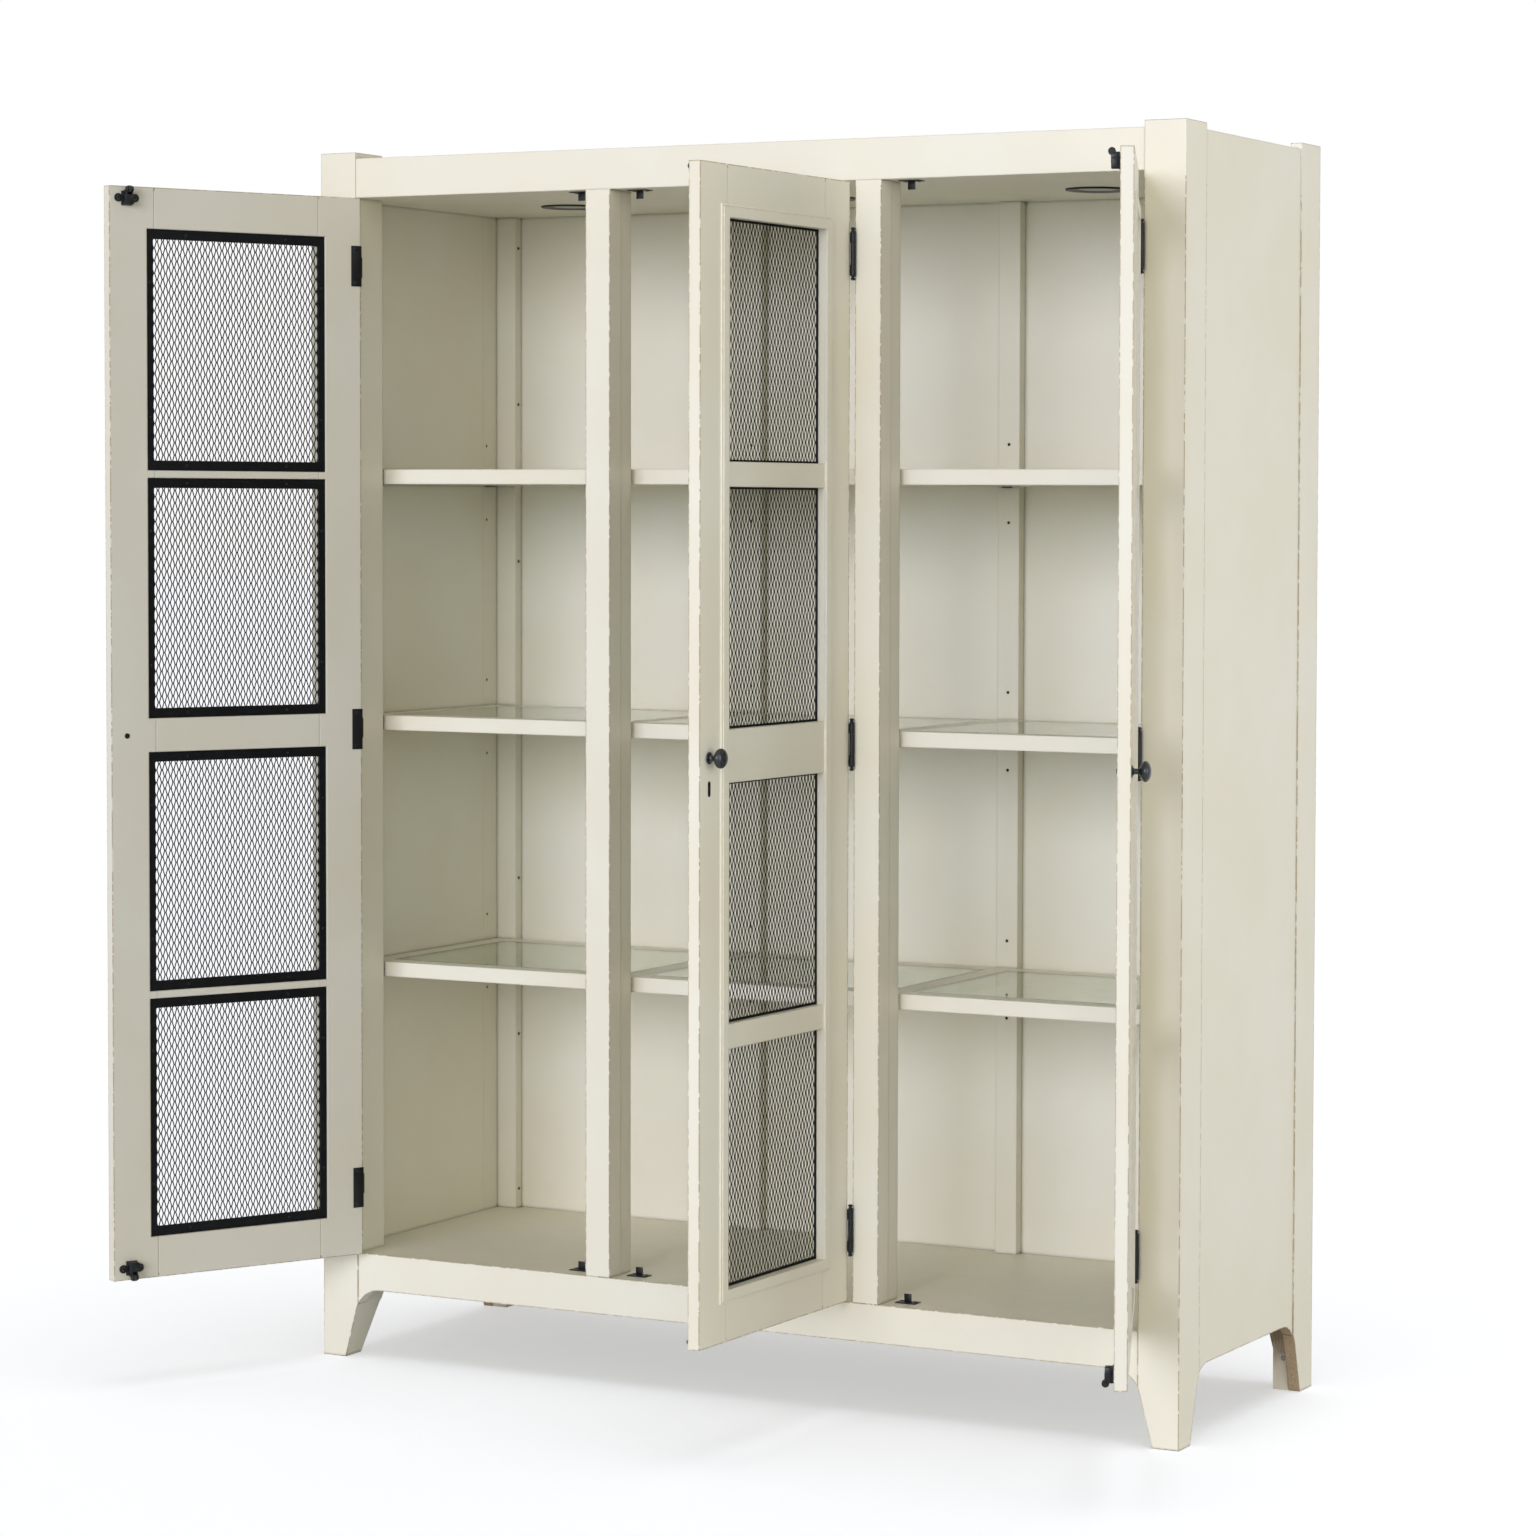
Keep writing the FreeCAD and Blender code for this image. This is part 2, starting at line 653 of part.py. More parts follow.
rings, lenses = [], []
for bay in range(3):
    centre = (bay_centre(bay), f"{FRONT} + light_depth")
    ring = rod(f"light_ring_{bay}", (*centre, f"{CEILING} - light_ring_height"),
               "light_radius", "light_ring_height", "z")
    bore = rod(f"light_bore_{bay}", (*centre, f"{CEILING} - light_ring_height"),
               "light_radius - light_ring_width", "light_ring_height", "z")
    rings.append(cut(f"light_{bay}", ring, [bore]))
    lenses.append(rod(f"light_lens_{bay}", (*centre, f"{CEILING} - light_lens_height"),
                      "light_radius - light_ring_width", "light_lens_height", "z"))
node("ceiling_light_rings", rings)
node("ceiling_light_lenses", lenses)


# ---------------------------------------------------------------- doors

DOOR_WIDTH = f"({BAY} - 2 * door_gap)"
DOOR_LOW = "(floor_line + door_bottom_gap)"
DOOR_HIGH = f"({CEILING} - door_top_gap)"
DOOR_HEIGHT = f"({DOOR_HIGH} - {DOOR_LOW})"
HINGE_EDGE = "(door_gap / 2)"
FREE_EDGE = f"({HINGE_EDGE} + {DOOR_WIDTH})"
PANEL_LEFT = f"({HINGE_EDGE} + door_stile)"
PANEL_WIDTH = f"({DOOR_WIDTH} - 2 * door_stile)"
PANE_HEIGHT = f"(({DOOR_HEIGHT} - 2 * door_end_rail - 2 * door_thin_rail - door_lock_rail) / 4)"
KNOB_U = f"({FREE_EDGE} - knob_edge)"
CATCH_U = f"({FREE_EDGE} - catch_edge)"
LOCK_CENTRE = f"(({DOOR_LOW} + {DOOR_HIGH}) / 2)"
HINGE_LEVELS = {
    "upper": f"({DOOR_HIGH} - hinge_inset)",
    "middle": LOCK_CENTRE,
    "lower": f"({DOOR_LOW} + hinge_inset)",
}
RAILS = ["door_end_rail", "door_thin_rail", "door_lock_rail", "door_thin_rail", "door_end_rail"]


def rail_low(order):
    """Lower edge of a rail, counted from the bottom of the door."""
    below = " + ".join([DOOR_LOW] + RAILS[:order])
    return f"({below} + {order} * {PANE_HEIGHT})"


def opening_low(order):
    return f"({rail_low(order)} + {RAILS[order]})"


class Door:
    """The hinge coordinates of one door: hand is +1 with its hinges on the left."""

    def __init__(self, name, hand, hinge, angle):
        self.name = name
        self.hand = hand
        self.hinge = hinge
        self.angle = angle

    def carry(self, part):
        part.Placement = FreeCAD.Placement(FreeCAD.Vector(), FreeCAD.Rotation(Z_AXIS, 1))
        place(part, (self.hinge, f"{FRONT} - barrel_offset", 0))
        turn = opposite(self.angle) if self.hand > 0 else self.angle
        part.setExpression("Placement.Rotation.Angle", sized(turn))

    def across(self, near, width=0):
        """Local x of a span that starts at near, counted from the hinge axis."""
        return near if self.hand > 0 else f"-({near}) - ({width})"

    def bar(self, name, near, inward, low, size):
        corner = (self.across(near, size[0]), f"barrel_offset + {inward}", low)
        return box(f"{self.name}_{name}", corner, size)

    def pin(self, name, near, inward, level, radius, length, along):
        """A cylinder; along u it spans length from near, along v it runs inwards."""
        start_x = self.across(near, length) if along == "x" else self.across(near)
        start = (start_x, f"barrel_offset + {inward}", level)
        return rod(f"{self.name}_{name}", start, radius, length, along)


def opening_block(door, name, margin, inward, depth, order):
    """A block over one opening, wider than it by a margin on every side."""
    return door.bar(f"{name}_{order}", f"{PANEL_LEFT} - {margin}", inward,
                    f"{opening_low(order)} - {margin}",
                    (f"{PANEL_WIDTH} + 2 * {margin}", depth, f"{PANE_HEIGHT} + 2 * {margin}"))


def door_frame(door, has_keyhole):
    """Two stiles and five tenoned rails, rabbeted behind for the mesh."""
    rabbets = [opening_block(door, "rabbet", "rabbet_width", "(door_thickness - rabbet_depth)",
                             "rabbet_depth", order) for order in range(4)]
    rails, mortises = [], []
    for order, width in enumerate(RAILS):
        low = rail_low(order)
        bar = door.bar(f"rail_{order}_bar", PANEL_LEFT, 0, low, (PANEL_WIDTH, "door_thickness", width))
        ends = (f"{PANEL_LEFT} - door_tenon_length", f"{PANEL_LEFT} + {PANEL_WIDTH}")
        pair = [
            door.bar(f"rail_{order}_tenon_{end}", near, "door_tenon_inset",
                     f"{low} + door_tenon_shoulder",
                     ("door_tenon_length", "door_tenon_thickness", f"{width} - 2 * door_tenon_shoulder"))
            for end, near in enumerate(ends)
        ]
        mortises += pair
        blank = fuse(f"{door.name}_rail_{order}_blank", [bar, *pair])
        near_rabbets = rabbets[max(order - 1, 0):order + 1]
        rails.append(cut(f"{door.name}_rail_{order}", blank, near_rabbets))
    node(f"{door.name}_rails", rails, door)

    knob_bore = door.pin("knob_bore", KNOB_U, 0, LOCK_CENTRE, "knob_stud_radius",
                         "door_thickness", "y")
    free_cuts = [knob_bore]
    if has_keyhole:
        free_cuts += keyhole(door)
    stiles = []
    ends = (("hinge", HINGE_EDGE, []), ("free", f"{PANEL_LEFT} + {PANEL_WIDTH}", free_cuts))
    for end, (name, near, more) in enumerate(ends):
        blank = door.bar(f"{name}_stile", near, 0, DOOR_LOW, ("door_stile", "door_thickness", DOOR_HEIGHT))
        tools = [*mortises[end::2], *rabbets, *more]
        stiles.append(cut(f"{door.name}_{name}_stile", blank, tools))
    node(f"{door.name}_stiles", stiles, door)


def keyhole(door):
    """A round hole over a narrow slot, sunk into the outer face."""
    top = f"({LOCK_CENTRE} - keyhole_drop)"
    hole = door.pin("key_hole", KNOB_U, 0, f"{top} - keyhole_radius", "keyhole_radius",
                    "keyhole_depth", "y")
    slot = door.bar("key_slot", f"{KNOB_U} - keyhole_width / 2", 0, f"{top} - keyhole_height",
                    ("keyhole_width", "keyhole_depth", "keyhole_height - keyhole_radius"))
    return [hole, slot]


def moulding(door):
    """A frame round all four openings with a bead along its outer edge."""
    low, high = opening_low(0), f"({opening_low(3)} + {PANE_HEIGHT})"

    def ring_block(name, margin, inward, depth):
        return door.bar(name, f"{PANEL_LEFT} - {margin}", inward, f"{low} - {margin}",
                        (f"{PANEL_WIDTH} + 2 * {margin}", depth, f"{high} - {low} + 2 * {margin}"))

    outer = ring_block("moulding_outer", "moulding_width", "(-moulding_height)", "moulding_height")
    inner = ring_block("moulding_inner", 0, "(-moulding_height)", "moulding_height")
    bead_outer = ring_block("bead_outer", "moulding_width", "(-moulding_height)", "moulding_bead")
    bead_inner = ring_block("bead_inner", "(moulding_width - moulding_bead_width)",
                            "(-moulding_height)", "moulding_bead")
    bead = cut(f"{door.name}_bead", bead_outer, [bead_inner])
    node(f"{door.name}_moulding", [cut(f"{door.name}_moulding", outer, [inner, bead])], door)


FRAME_MARGIN = "(rabbet_width - mesh_frame_clearance)"
MESH_FACE = "(door_thickness - rabbet_depth)"


def mesh_frames(door):
    frames = []
    for order in range(4):
        outer = opening_block(door, "mesh_frame_outer", FRAME_MARGIN,
                              f"({MESH_FACE} + mesh_thickness)", "mesh_frame_thickness", order)
        inner = opening_block(door, "mesh_frame_inner", f"({FRAME_MARGIN} - mesh_frame_bar)",
                              f"({MESH_FACE} + mesh_thickness)", "mesh_frame_thickness", order)
        frames.append(cut(f"{door.name}_mesh_frame_{order}", outer, [inner]))
    node(f"{door.name}_mesh_frames", frames, door)


def mesh_panels(door):
    """Expanded sheets: rows of diamonds, each row shifted by half a cell."""
    margin = number(FRAME_MARGIN)
    bar = number("mesh_frame_bar")
    width = number(PANEL_WIDTH) + 2 * margin
    height = number(PANE_HEIGHT) + 2 * margin
    cell_width, cell_height = number("mesh_cell_width"), number("mesh_cell_height")
    strand = number("mesh_strand")
    half_width, half_height = (cell_width - strand) / 2, (cell_height - 2 * strand) / 2
    columns = int((width - 2 * bar) / cell_width)
    rows = int(2 * (height - 2 * bar) / cell_height) - 1
    left = (width - columns * cell_width) / 2
    low = (height - (rows + 1) * cell_height / 2) / 2

    def ring(points):
        return Part.makePolygon([FreeCAD.Vector(x, 0, z) for x, z in [*points, points[0]]])

    sheet_face = Part.Face(ring([(0, 0), (width, 0), (width, height), (0, height)]))
    diamonds = []
    for row in range(rows):
        shift = (row % 2) * cell_width / 2
        for column in range(columns - row % 2):
            x = left + shift + (column + 0.5) * cell_width
            z = low + (row + 1) * cell_height / 2
            points = [(x - half_width, z), (x, z - half_height), (x + half_width, z), (x, z + half_height)]
            diamonds.append(Part.Face(ring(points)))
    pierced = sheet_face.cut(Part.Compound(diamonds))
    solid = pierced.extrude(FreeCAD.Vector(0, number("mesh_thickness"), 0)).Solids[0]
    sheets = []
    for order in range(4):
        panel = doc.addObject("Part::Feature", f"{door.name}_mesh_{order}")
        panel.Shape = solid
        near = f"{PANEL_LEFT} - {FRAME_MARGIN}"
        place(panel, (door.across(near, f"{PANEL_WIDTH} + 2 * {FRAME_MARGIN}"),
                      f"barrel_offset + {MESH_FACE}", f"{opening_low(order)} - {FRAME_MARGIN}"))
        sheets.append(panel)
    node(f"{door.name}_mesh_panels", sheets, door)


# ---------------------------------------------------------------- door hardware


def knob(door):
    """Rose, waisted neck, oval head, a stud through the stile and its screw head inside."""
    name = door.name
    rose = door.pin("knob_rose", KNOB_U, "(-knob_rose_height)", LOCK_CENTRE, "knob_rose_radius",
                    "knob_rose_height", "y")
    neck = doc.addObject("Part::Cone", f"{name}_knob_neck")
    neck.Placement = FreeCAD.Placement(FreeCAD.Vector(), TURNS["y"])
    bind(neck, ("Radius1", "Radius2", "Height"),
         ("knob_neck_radius", "knob_neck_radius * 1.5", "knob_reach"))
    place(neck, (door.across(KNOB_U), "barrel_offset - knob_reach", LOCK_CENTRE))
    head = doc.addObject("Part::Ellipsoid", f"{name}_knob_head")
    head.Placement = FreeCAD.Placement(FreeCAD.Vector(), TURNS["y"])
    bind(head, ("Radius1", "Radius2", "Radius3"), ("knob_half_length", "knob_radius", "knob_radius"))
    place(head, (door.across(KNOB_U), "barrel_offset - knob_reach", LOCK_CENTRE))
    stud = door.pin("knob_stud", KNOB_U, 0, LOCK_CENTRE, "knob_stud_radius", "door_thickness", "y")
    screw = door.pin("knob_screw", KNOB_U, "door_thickness", LOCK_CENTRE, "knob_screw_radius",
                     "knob_screw_head", "y")
    node(f"{name}_knob", [fuse(f"{name}_knob_body", [rose, neck, head, stud, screw])], door)


def hinges(door):
    """Three butt hinges: door leaves with two knuckles, frame leaves with one and the pin."""
    door_leaves, frame_leaves = [], []
    for name, level in HINGE_LEVELS.items():
        low, middle_low = f"({level} - hinge_height / 2)", f"({level} - hinge_middle / 2)"
        high_knuckle = f"({level} + hinge_middle / 2 + hinge_gap)"
        end_length = "((hinge_height - hinge_middle) / 2 - hinge_gap)"
        door_leaves.append(door_leaf(door, name, level, low, high_knuckle, end_length))
        frame_leaves.append(frame_leaf(door, name, level, low, middle_low))
    node(f"{door.name}_hinge_leaves", door_leaves, door)
    node(f"{door.name.replace('_door', '')}_frame_hinges", frame_leaves, Hung(door))


def door_leaf(door, hinge_name, level, low, high_knuckle, end_length):
    """Wraps the door's hinge edge and lies on its inner face."""
    name = f"{hinge_name}_hinge"
    near = "(door_gap / 2 - hinge_leaf)"
    edge = door.bar(f"{name}_edge", near, 0, low, ("hinge_leaf", "door_thickness", "hinge_height"))
    wrap = door.bar(f"{name}_wrap", near, "door_thickness", low,
                    ("hinge_wrap", "hinge_leaf", "hinge_height"))
    pieces = [edge, wrap]
    bores = []
    for end, start in enumerate((low, high_knuckle)):
        strip = door.bar(f"{name}_strip_{end}", near, "(-barrel_offset)", start,
                         ("hinge_leaf", "barrel_offset", end_length))
        knuckle = rod(f"{door.name}_{name}_knuckle_{end}", (0, 0, start), "barrel_radius",
                      end_length, "z")
        bore = rod(f"{door.name}_{name}_bore_{end}", (0, 0, start),
                   "hinge_pin_radius + hinge_pin_clearance", end_length, "z")
        pieces += [strip, knuckle]
        bores.append(bore)
    for end, way in enumerate((-1, 1)):
        screw_level = f"{level} + {way} * (hinge_height / 2 - hinge_screw_inset)"
        pieces.append(door.pin(f"{name}_screw_{end}", f"({near} + hinge_wrap / 2 + hinge_leaf)",
                               "(door_thickness + hinge_leaf)", screw_level, "hinge_screw_radius",
                               "hinge_screw_head", "y"))
    return cut(f"{door.name}_{name}", fuse(f"{door.name}_{name}_blank", pieces), bores)


def frame_leaf(door, hinge_name, level, low, middle_low):
    """Lies on the post or mullion behind the barrel and carries the pin with its two finials."""
    name = f"{hinge_name}_frame_hinge"
    near = "(-door_gap / 2)"
    leaf = door.bar(f"{name}_leaf", near, 0, middle_low,
                    ("hinge_leaf", "hinge_frame_reach", "hinge_middle"))
    strip = door.bar(f"{name}_strip", near, "(-barrel_offset)", middle_low,
                     ("hinge_leaf", "barrel_offset", "hinge_middle"))
    name = f"{door.name}_{name}"
    knuckle = rod(f"{name}_knuckle", (0, 0, middle_low), "barrel_radius", "hinge_middle", "z")
    pin = rod(f"{name}_pin", (0, 0, f"{low} - hinge_gap - finial_length / 2"), "hinge_pin_radius",
              "hinge_height + 2 * hinge_gap + finial_length", "z")
    pieces = [leaf, strip, knuckle, pin]
    for end, start in enumerate((f"{low} - hinge_gap", f"{level} + hinge_height / 2 + hinge_gap")):
        collar_low = f"{start} - finial_length / 2" if end == 0 else start
        ball_level = f"{start} - finial_length / 2" if end == 0 else f"{start} + finial_length / 2"
        pieces.append(rod(f"{name}_collar_{end}", (0, 0, collar_low), "barrel_radius",
                          "finial_length / 2", "z"))
        ball = doc.addObject("Part::Sphere", f"{name}_ball_{end}")
        ball.setExpression("Radius", sized("barrel_radius"))
        place(ball, (0, 0, ball_level))
        pieces.append(ball)
    return fuse(name, pieces)


class Hung:
    """What stays on the carcass at a door's hinge axis."""

    def __init__(self, door):
        self.door = door

    def carry(self, part):
        place(part, (self.door.hinge, f"{FRONT} - barrel_offset", 0))


def catches(door):
    """A roller catch at each end of the door: plate, slotted arm, axle; and the two rollers."""
    brackets = []
    for end in ("top", "bottom"):
        way = -1 if end == "top" else 1
        edge = DOOR_HIGH if end == "top" else DOOR_LOW

        def level(distance, height=0, way=way, edge=edge):
            """z of a span that starts at a distance from the door's end and has a height."""
            return f"({edge} + {distance})" if way > 0 else f"({edge} - {distance} - {height})"

        name = f"{door.name}_{end}"
        axle_v = "(door_thickness + roller_depth)"
        axle_z = level("roller_inset")
        plate = door.bar(f"{end}_catch_plate", f"{CATCH_U} - catch_plate_width / 2", "door_thickness",
                         level("catch_inset", "catch_plate_height"),
                         ("catch_plate_width", "catch_plate", "catch_plate_height"))
        near = f"({CATCH_U} - catch_arm_width / 2)"
        arm = door.bar(f"{end}_arm", near, "door_thickness", level("catch_inset", "catch_arm_height"),
                       ("catch_arm_width", "catch_arm_depth", "catch_arm_height"))
        ears = door.pin(f"{end}_ears", near, axle_v, axle_z, "catch_ear_radius",
                        "catch_arm_width", "x")
        slot_near = f"({CATCH_U} - roller_width / 2 - roller_side_gap)"
        slot = door.pin(f"{end}_slot", slot_near, axle_v, axle_z, "roller_radius + roller_clearance",
                        "roller_width + 2 * roller_side_gap", "x")
        axle = door.pin(f"{end}_axle", near, axle_v, axle_z, "axle_radius", "catch_arm_width", "x")
        body = fuse(f"{name}_bracket_blank", [plate, arm, ears])
        brackets.append(fuse(f"{name}_bracket", [cut(f"{name}_slotted", body, [slot]), axle]))
        roller_near = f"({CATCH_U} - roller_width / 2)"
        wheel = door.pin(f"{end}_wheel", roller_near, axle_v, axle_z, "roller_radius",
                         "roller_width", "x")
        bore = door.pin(f"{end}_wheel_bore", roller_near, axle_v, axle_z,
                        "axle_radius + axle_clearance", "roller_width", "x")
        node(f"{name}_roller", [cut(f"{name}_roller", wheel, [bore])], door)
    node(f"{door.name}_catches", brackets, door)


def strikes(door):
    """A plate with a lug under the ceiling and one on the floor, behind the closed rollers."""
    pieces = []
    lug_front = (f"({FRONT} + door_thickness + roller_depth + roller_radius + strike_lug_gap)")
    for end in ("top", "bottom"):
        plate_low = f"{CEILING} - strike_plate" if end == "top" else "floor_line"
        lug_low = (f"{CEILING} - strike_plate - strike_lug_height" if end == "top"
                   else "floor_line + strike_plate")
        for_plate = door.across(f"{CATCH_U} - strike_width / 2", "strike_width")
        for_lug = door.across(f"{CATCH_U} - strike_lug_width / 2", "strike_lug_width")
        plate = box(f"{door.name}_{end}_strike_plate",
                    (f"{door.hinge} + {for_plate}", f"{FRONT} + strike_front", plate_low),
                    ("strike_width", "strike_depth", "strike_plate"))
        lug = box(f"{door.name}_{end}_lug", (f"{door.hinge} + {for_lug}", lug_front, lug_low),
                  ("strike_lug_width", "strike_lug", "strike_lug_height"))
        pieces.append(fuse(f"{door.name}_{end}_strike", [plate, lug]))
    return pieces


doors = [
    Door("left_door", 1, f"({bay_left(0)} + {HINGE_EDGE})", "left_door_angle"),
    Door("middle_door", -1, f"({mullion_left(1)} - {HINGE_EDGE})", "middle_door_angle"),
    Door("right_door", -1, f"({mullion_left(2)} - {HINGE_EDGE})", "right_door_angle"),
]
strike_pieces = []
for door in doors:
    door_frame(door, has_keyhole=door.name == "middle_door")
    moulding(door)
    mesh_frames(door)
    mesh_panels(door)
    knob(door)
    hinges(door)
    catches(door)
    strike_pieces += strikes(door)
node("catch_strikes", strike_pieces)


# ---------------------------------------------------------------- checks and export

doc.recompute()
for piece in doc.Objects:
    if any(word in piece.State for word in ("Invalid", "Error")):
        raise RuntimeError(f"{piece.Name} failed: {piece.State}")

os.makedirs("parts", exist_ok=True)
for part in nodes:
    shape = part.Shape
    if shape.isNull() or not shape.isValid() or not shape.Solids:
        raise RuntimeError(f"{part.Label} has no valid solid")
    shape.exportStep(f"parts/{part.Label}.step")
print(f"{len(nodes)} nodes, {sum(len(part.Shape.Solids) for part in nodes)} solids")
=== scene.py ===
# %% [markdown]
# # A painted pie safe
# A pie safe is a tall kitchen cupboard whose doors are filled with metal mesh, so that air
# reaches the food and flies don't. This file dresses the cupboard for a picture. The joinery
# comes ready made as a frame of solids, and this lesson adds what a solid model leaves out:
# worn paint, turned knobs, screws, beaded moulding and the fine mesh itself.
#
# First the frame is loaded.

# %% Load the frame
import json
import math
import random

import bmesh
import bpy
from mathutils import Matrix, Vector

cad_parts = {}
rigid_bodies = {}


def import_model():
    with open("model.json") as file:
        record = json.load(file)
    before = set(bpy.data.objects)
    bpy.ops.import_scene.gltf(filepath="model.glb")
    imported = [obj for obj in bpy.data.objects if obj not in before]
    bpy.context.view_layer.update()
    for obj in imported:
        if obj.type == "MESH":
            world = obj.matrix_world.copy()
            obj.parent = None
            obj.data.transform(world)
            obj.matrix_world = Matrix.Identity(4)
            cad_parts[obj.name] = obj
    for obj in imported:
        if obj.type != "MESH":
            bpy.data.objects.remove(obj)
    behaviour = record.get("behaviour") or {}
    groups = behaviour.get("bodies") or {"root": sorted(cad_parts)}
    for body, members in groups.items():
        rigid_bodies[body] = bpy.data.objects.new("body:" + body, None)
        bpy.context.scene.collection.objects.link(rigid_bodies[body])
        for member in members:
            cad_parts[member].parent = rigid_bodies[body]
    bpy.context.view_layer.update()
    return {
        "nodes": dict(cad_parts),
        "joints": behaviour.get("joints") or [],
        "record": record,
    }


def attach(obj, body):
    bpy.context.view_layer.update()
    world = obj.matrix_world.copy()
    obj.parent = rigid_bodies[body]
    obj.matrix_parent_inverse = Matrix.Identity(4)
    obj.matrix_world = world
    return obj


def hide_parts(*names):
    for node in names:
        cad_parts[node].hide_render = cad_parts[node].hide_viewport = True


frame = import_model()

# %% [markdown]
# ## The camera
# The cupboard is seen from its right front corner, from a little over chest height, with a
# long lens. The eye's place, its heading and its tilt are written as a cabinet maker would
# survey them, in millimetres and degrees, and a matrix is made from them. The lens is shifted
# sideways, which sets the cupboard in the picture without turning the camera further.

# %% Camera
EYE = Vector((3377.9, -6341.0, 1450.4))
HEADING, TILT, ROLL = math.radians(26.35), math.radians(2.45), math.radians(0.25)
PICTURE, SENSOR = 1536, 36
FOCAL_PIXELS, CENTRE_X, CENTRE_Y = 4151.4, 1010.0, 686.5

forward = Vector((-math.sin(HEADING) * math.cos(TILT), math.cos(HEADING) * math.cos(TILT),
                  -math.sin(TILT)))
level = Vector((math.cos(HEADING), math.sin(HEADING), 0))
upright = level.cross(forward)
across = level * math.cos(ROLL) + upright * math.sin(ROLL)
upward = upright * math.cos(ROLL) - level * math.sin(ROLL)


def put(name, data):
    """A new object in the scene."""
    item = bpy.data.objects.new(name, data)
    bpy.context.collection.objects.link(item)
    return item


camera = put("camera", bpy.data.cameras.new("camera"))
camera.matrix_world = Matrix.Translation(EYE / 1000) @ Matrix(
    (across, upward, -forward)).transposed().to_4x4()
camera.data.sensor_width = SENSOR
camera.data.lens = SENSOR * FOCAL_PIXELS / PICTURE
camera.data.shift_x = (PICTURE / 2 - CENTRE_X) / PICTURE
camera.data.shift_y = (CENTRE_Y - PICTURE / 2) / PICTURE
camera.data.clip_end = 100
bpy.context.scene.camera = camera
bpy.context.scene.view_settings.view_transform = "Standard"
print("lens", round(camera.data.lens, 1), "mm, shift", round(camera.data.shift_x, 3),
      round(camera.data.shift_y, 3))

# %% [markdown]
# ## Tools for finishes
# Colours are written as the hex codes that a paint chart prints, and turned to the linear
# values that a renderer adds up. Shader nodes are all added by one function, which takes a
# node's settings and the sockets that feed it, so that each finish below reads as a recipe.

# %% Colours and nodes
def paint_chip(code):
    """The linear colour of a hex code."""
    shares = [int(code[i:i + 2], 16) / 255 for i in (1, 3, 5)]
    linear = [s / 12.92 if s <= 0.04045 else ((s + 0.055) / 1.055) ** 2.4 for s in shares]
    return (*linear, 1.0)


def add(tree, kind, settings=(), links=()):
    """Add a node. Settings are its attributes or input values; links feed its inputs."""
    node = tree.nodes.new(kind)
    for key, value in dict(settings).items():
        if isinstance(key, str) and hasattr(node, key):
            setattr(node, key, value)
        else:
            node.inputs[key].default_value = value
    for key, socket in dict(links).items():
        tree.links.new(socket, node.inputs[key])
    return node


def feed(tree, node, slot, value):
    """Give an input a number, the colour of a hex code, or a socket to follow."""
    if isinstance(value, bpy.types.NodeSocket):
        tree.links.new(value, node.inputs[slot])
    else:
        node.inputs[slot].default_value = paint_chip(value) if isinstance(value, str) else value


def blank_tree(owner):
    """Switch on the nodes of a material or a world, and clear them."""
    owner.use_nodes = True
    owner.node_tree.nodes.clear()
    return owner.node_tree


def new_finish(name):
    """A material with its surface shader, its tree and the piece's own coordinates."""
    finish = bpy.data.materials.new(name)
    tree = blank_tree(finish)
    surface = add(tree, "ShaderNodeBsdfPrincipled")
    add(tree, "ShaderNodeOutputMaterial", links={"Surface": surface.outputs["BSDF"]})
    place = add(tree, "ShaderNodeTexCoord").outputs["Object"]
    return finish, tree, surface, place


def ramp(tree, source, low, high, start=0.0, end=1.0):
    """A straight ramp from start at low to end at high, held flat outside."""
    return add(tree, "ShaderNodeMapRange",
               {"clamp": True, 1: low, 2: high, 3: start, 4: end}, {0: source}).outputs[0]


def blend_colour(tree, share, first, second):
    """Two colours mixed; each is a hex code or a socket."""
    node = add(tree, "ShaderNodeMix", {"data_type": "RGBA"})
    for slot, value in ((0, share), (6, first), (7, second)):
        feed(tree, node, slot, value)
    return node.outputs[2]


def maths(tree, first, second, operation="MULTIPLY"):
    """One step of arithmetic on numbers or sockets; a product unless told otherwise."""
    node = add(tree, "ShaderNodeMath", {"operation": operation})
    feed(tree, node, 0, first)
    feed(tree, node, 1, second)
    return node.outputs[0]


def size_of(tree, value):
    """A number without its sign."""
    return maths(tree, value, 0.0, "ABSOLUTE")


def speckle(tree, place, size_mm, detail=2.0, stretch=(1, 1, 1)):
    """Noise whose blots are about size_mm across, drawn out along an axis by stretch."""
    spread = add(tree, "ShaderNodeMapping", {"Scale": tuple(1 / s for s in stretch)},
                 {"Vector": place}).outputs[0]
    return add(tree, "ShaderNodeTexNoise", {"Scale": 1000 / size_mm, "Detail": detail},
               {"Vector": spread}).outputs[0]


def arris(tree, radius_mm, samples=4):
    """How near a point is to a sharp edge, from 0 on a flat to 1 on the edge itself."""
    rounded = add(tree, "ShaderNodeBevel", {"samples": samples, "Radius": radius_mm / 1000})
    true = add(tree, "ShaderNodeNewGeometry").outputs["True Normal"]
    same = add(tree, "ShaderNodeVectorMath", {"operation": "DOT_PRODUCT"},
               {0: rounded.outputs[0], 1: true}).outputs["Value"]
    return ramp(tree, same, 0.995, 0.74), rounded.outputs[0]


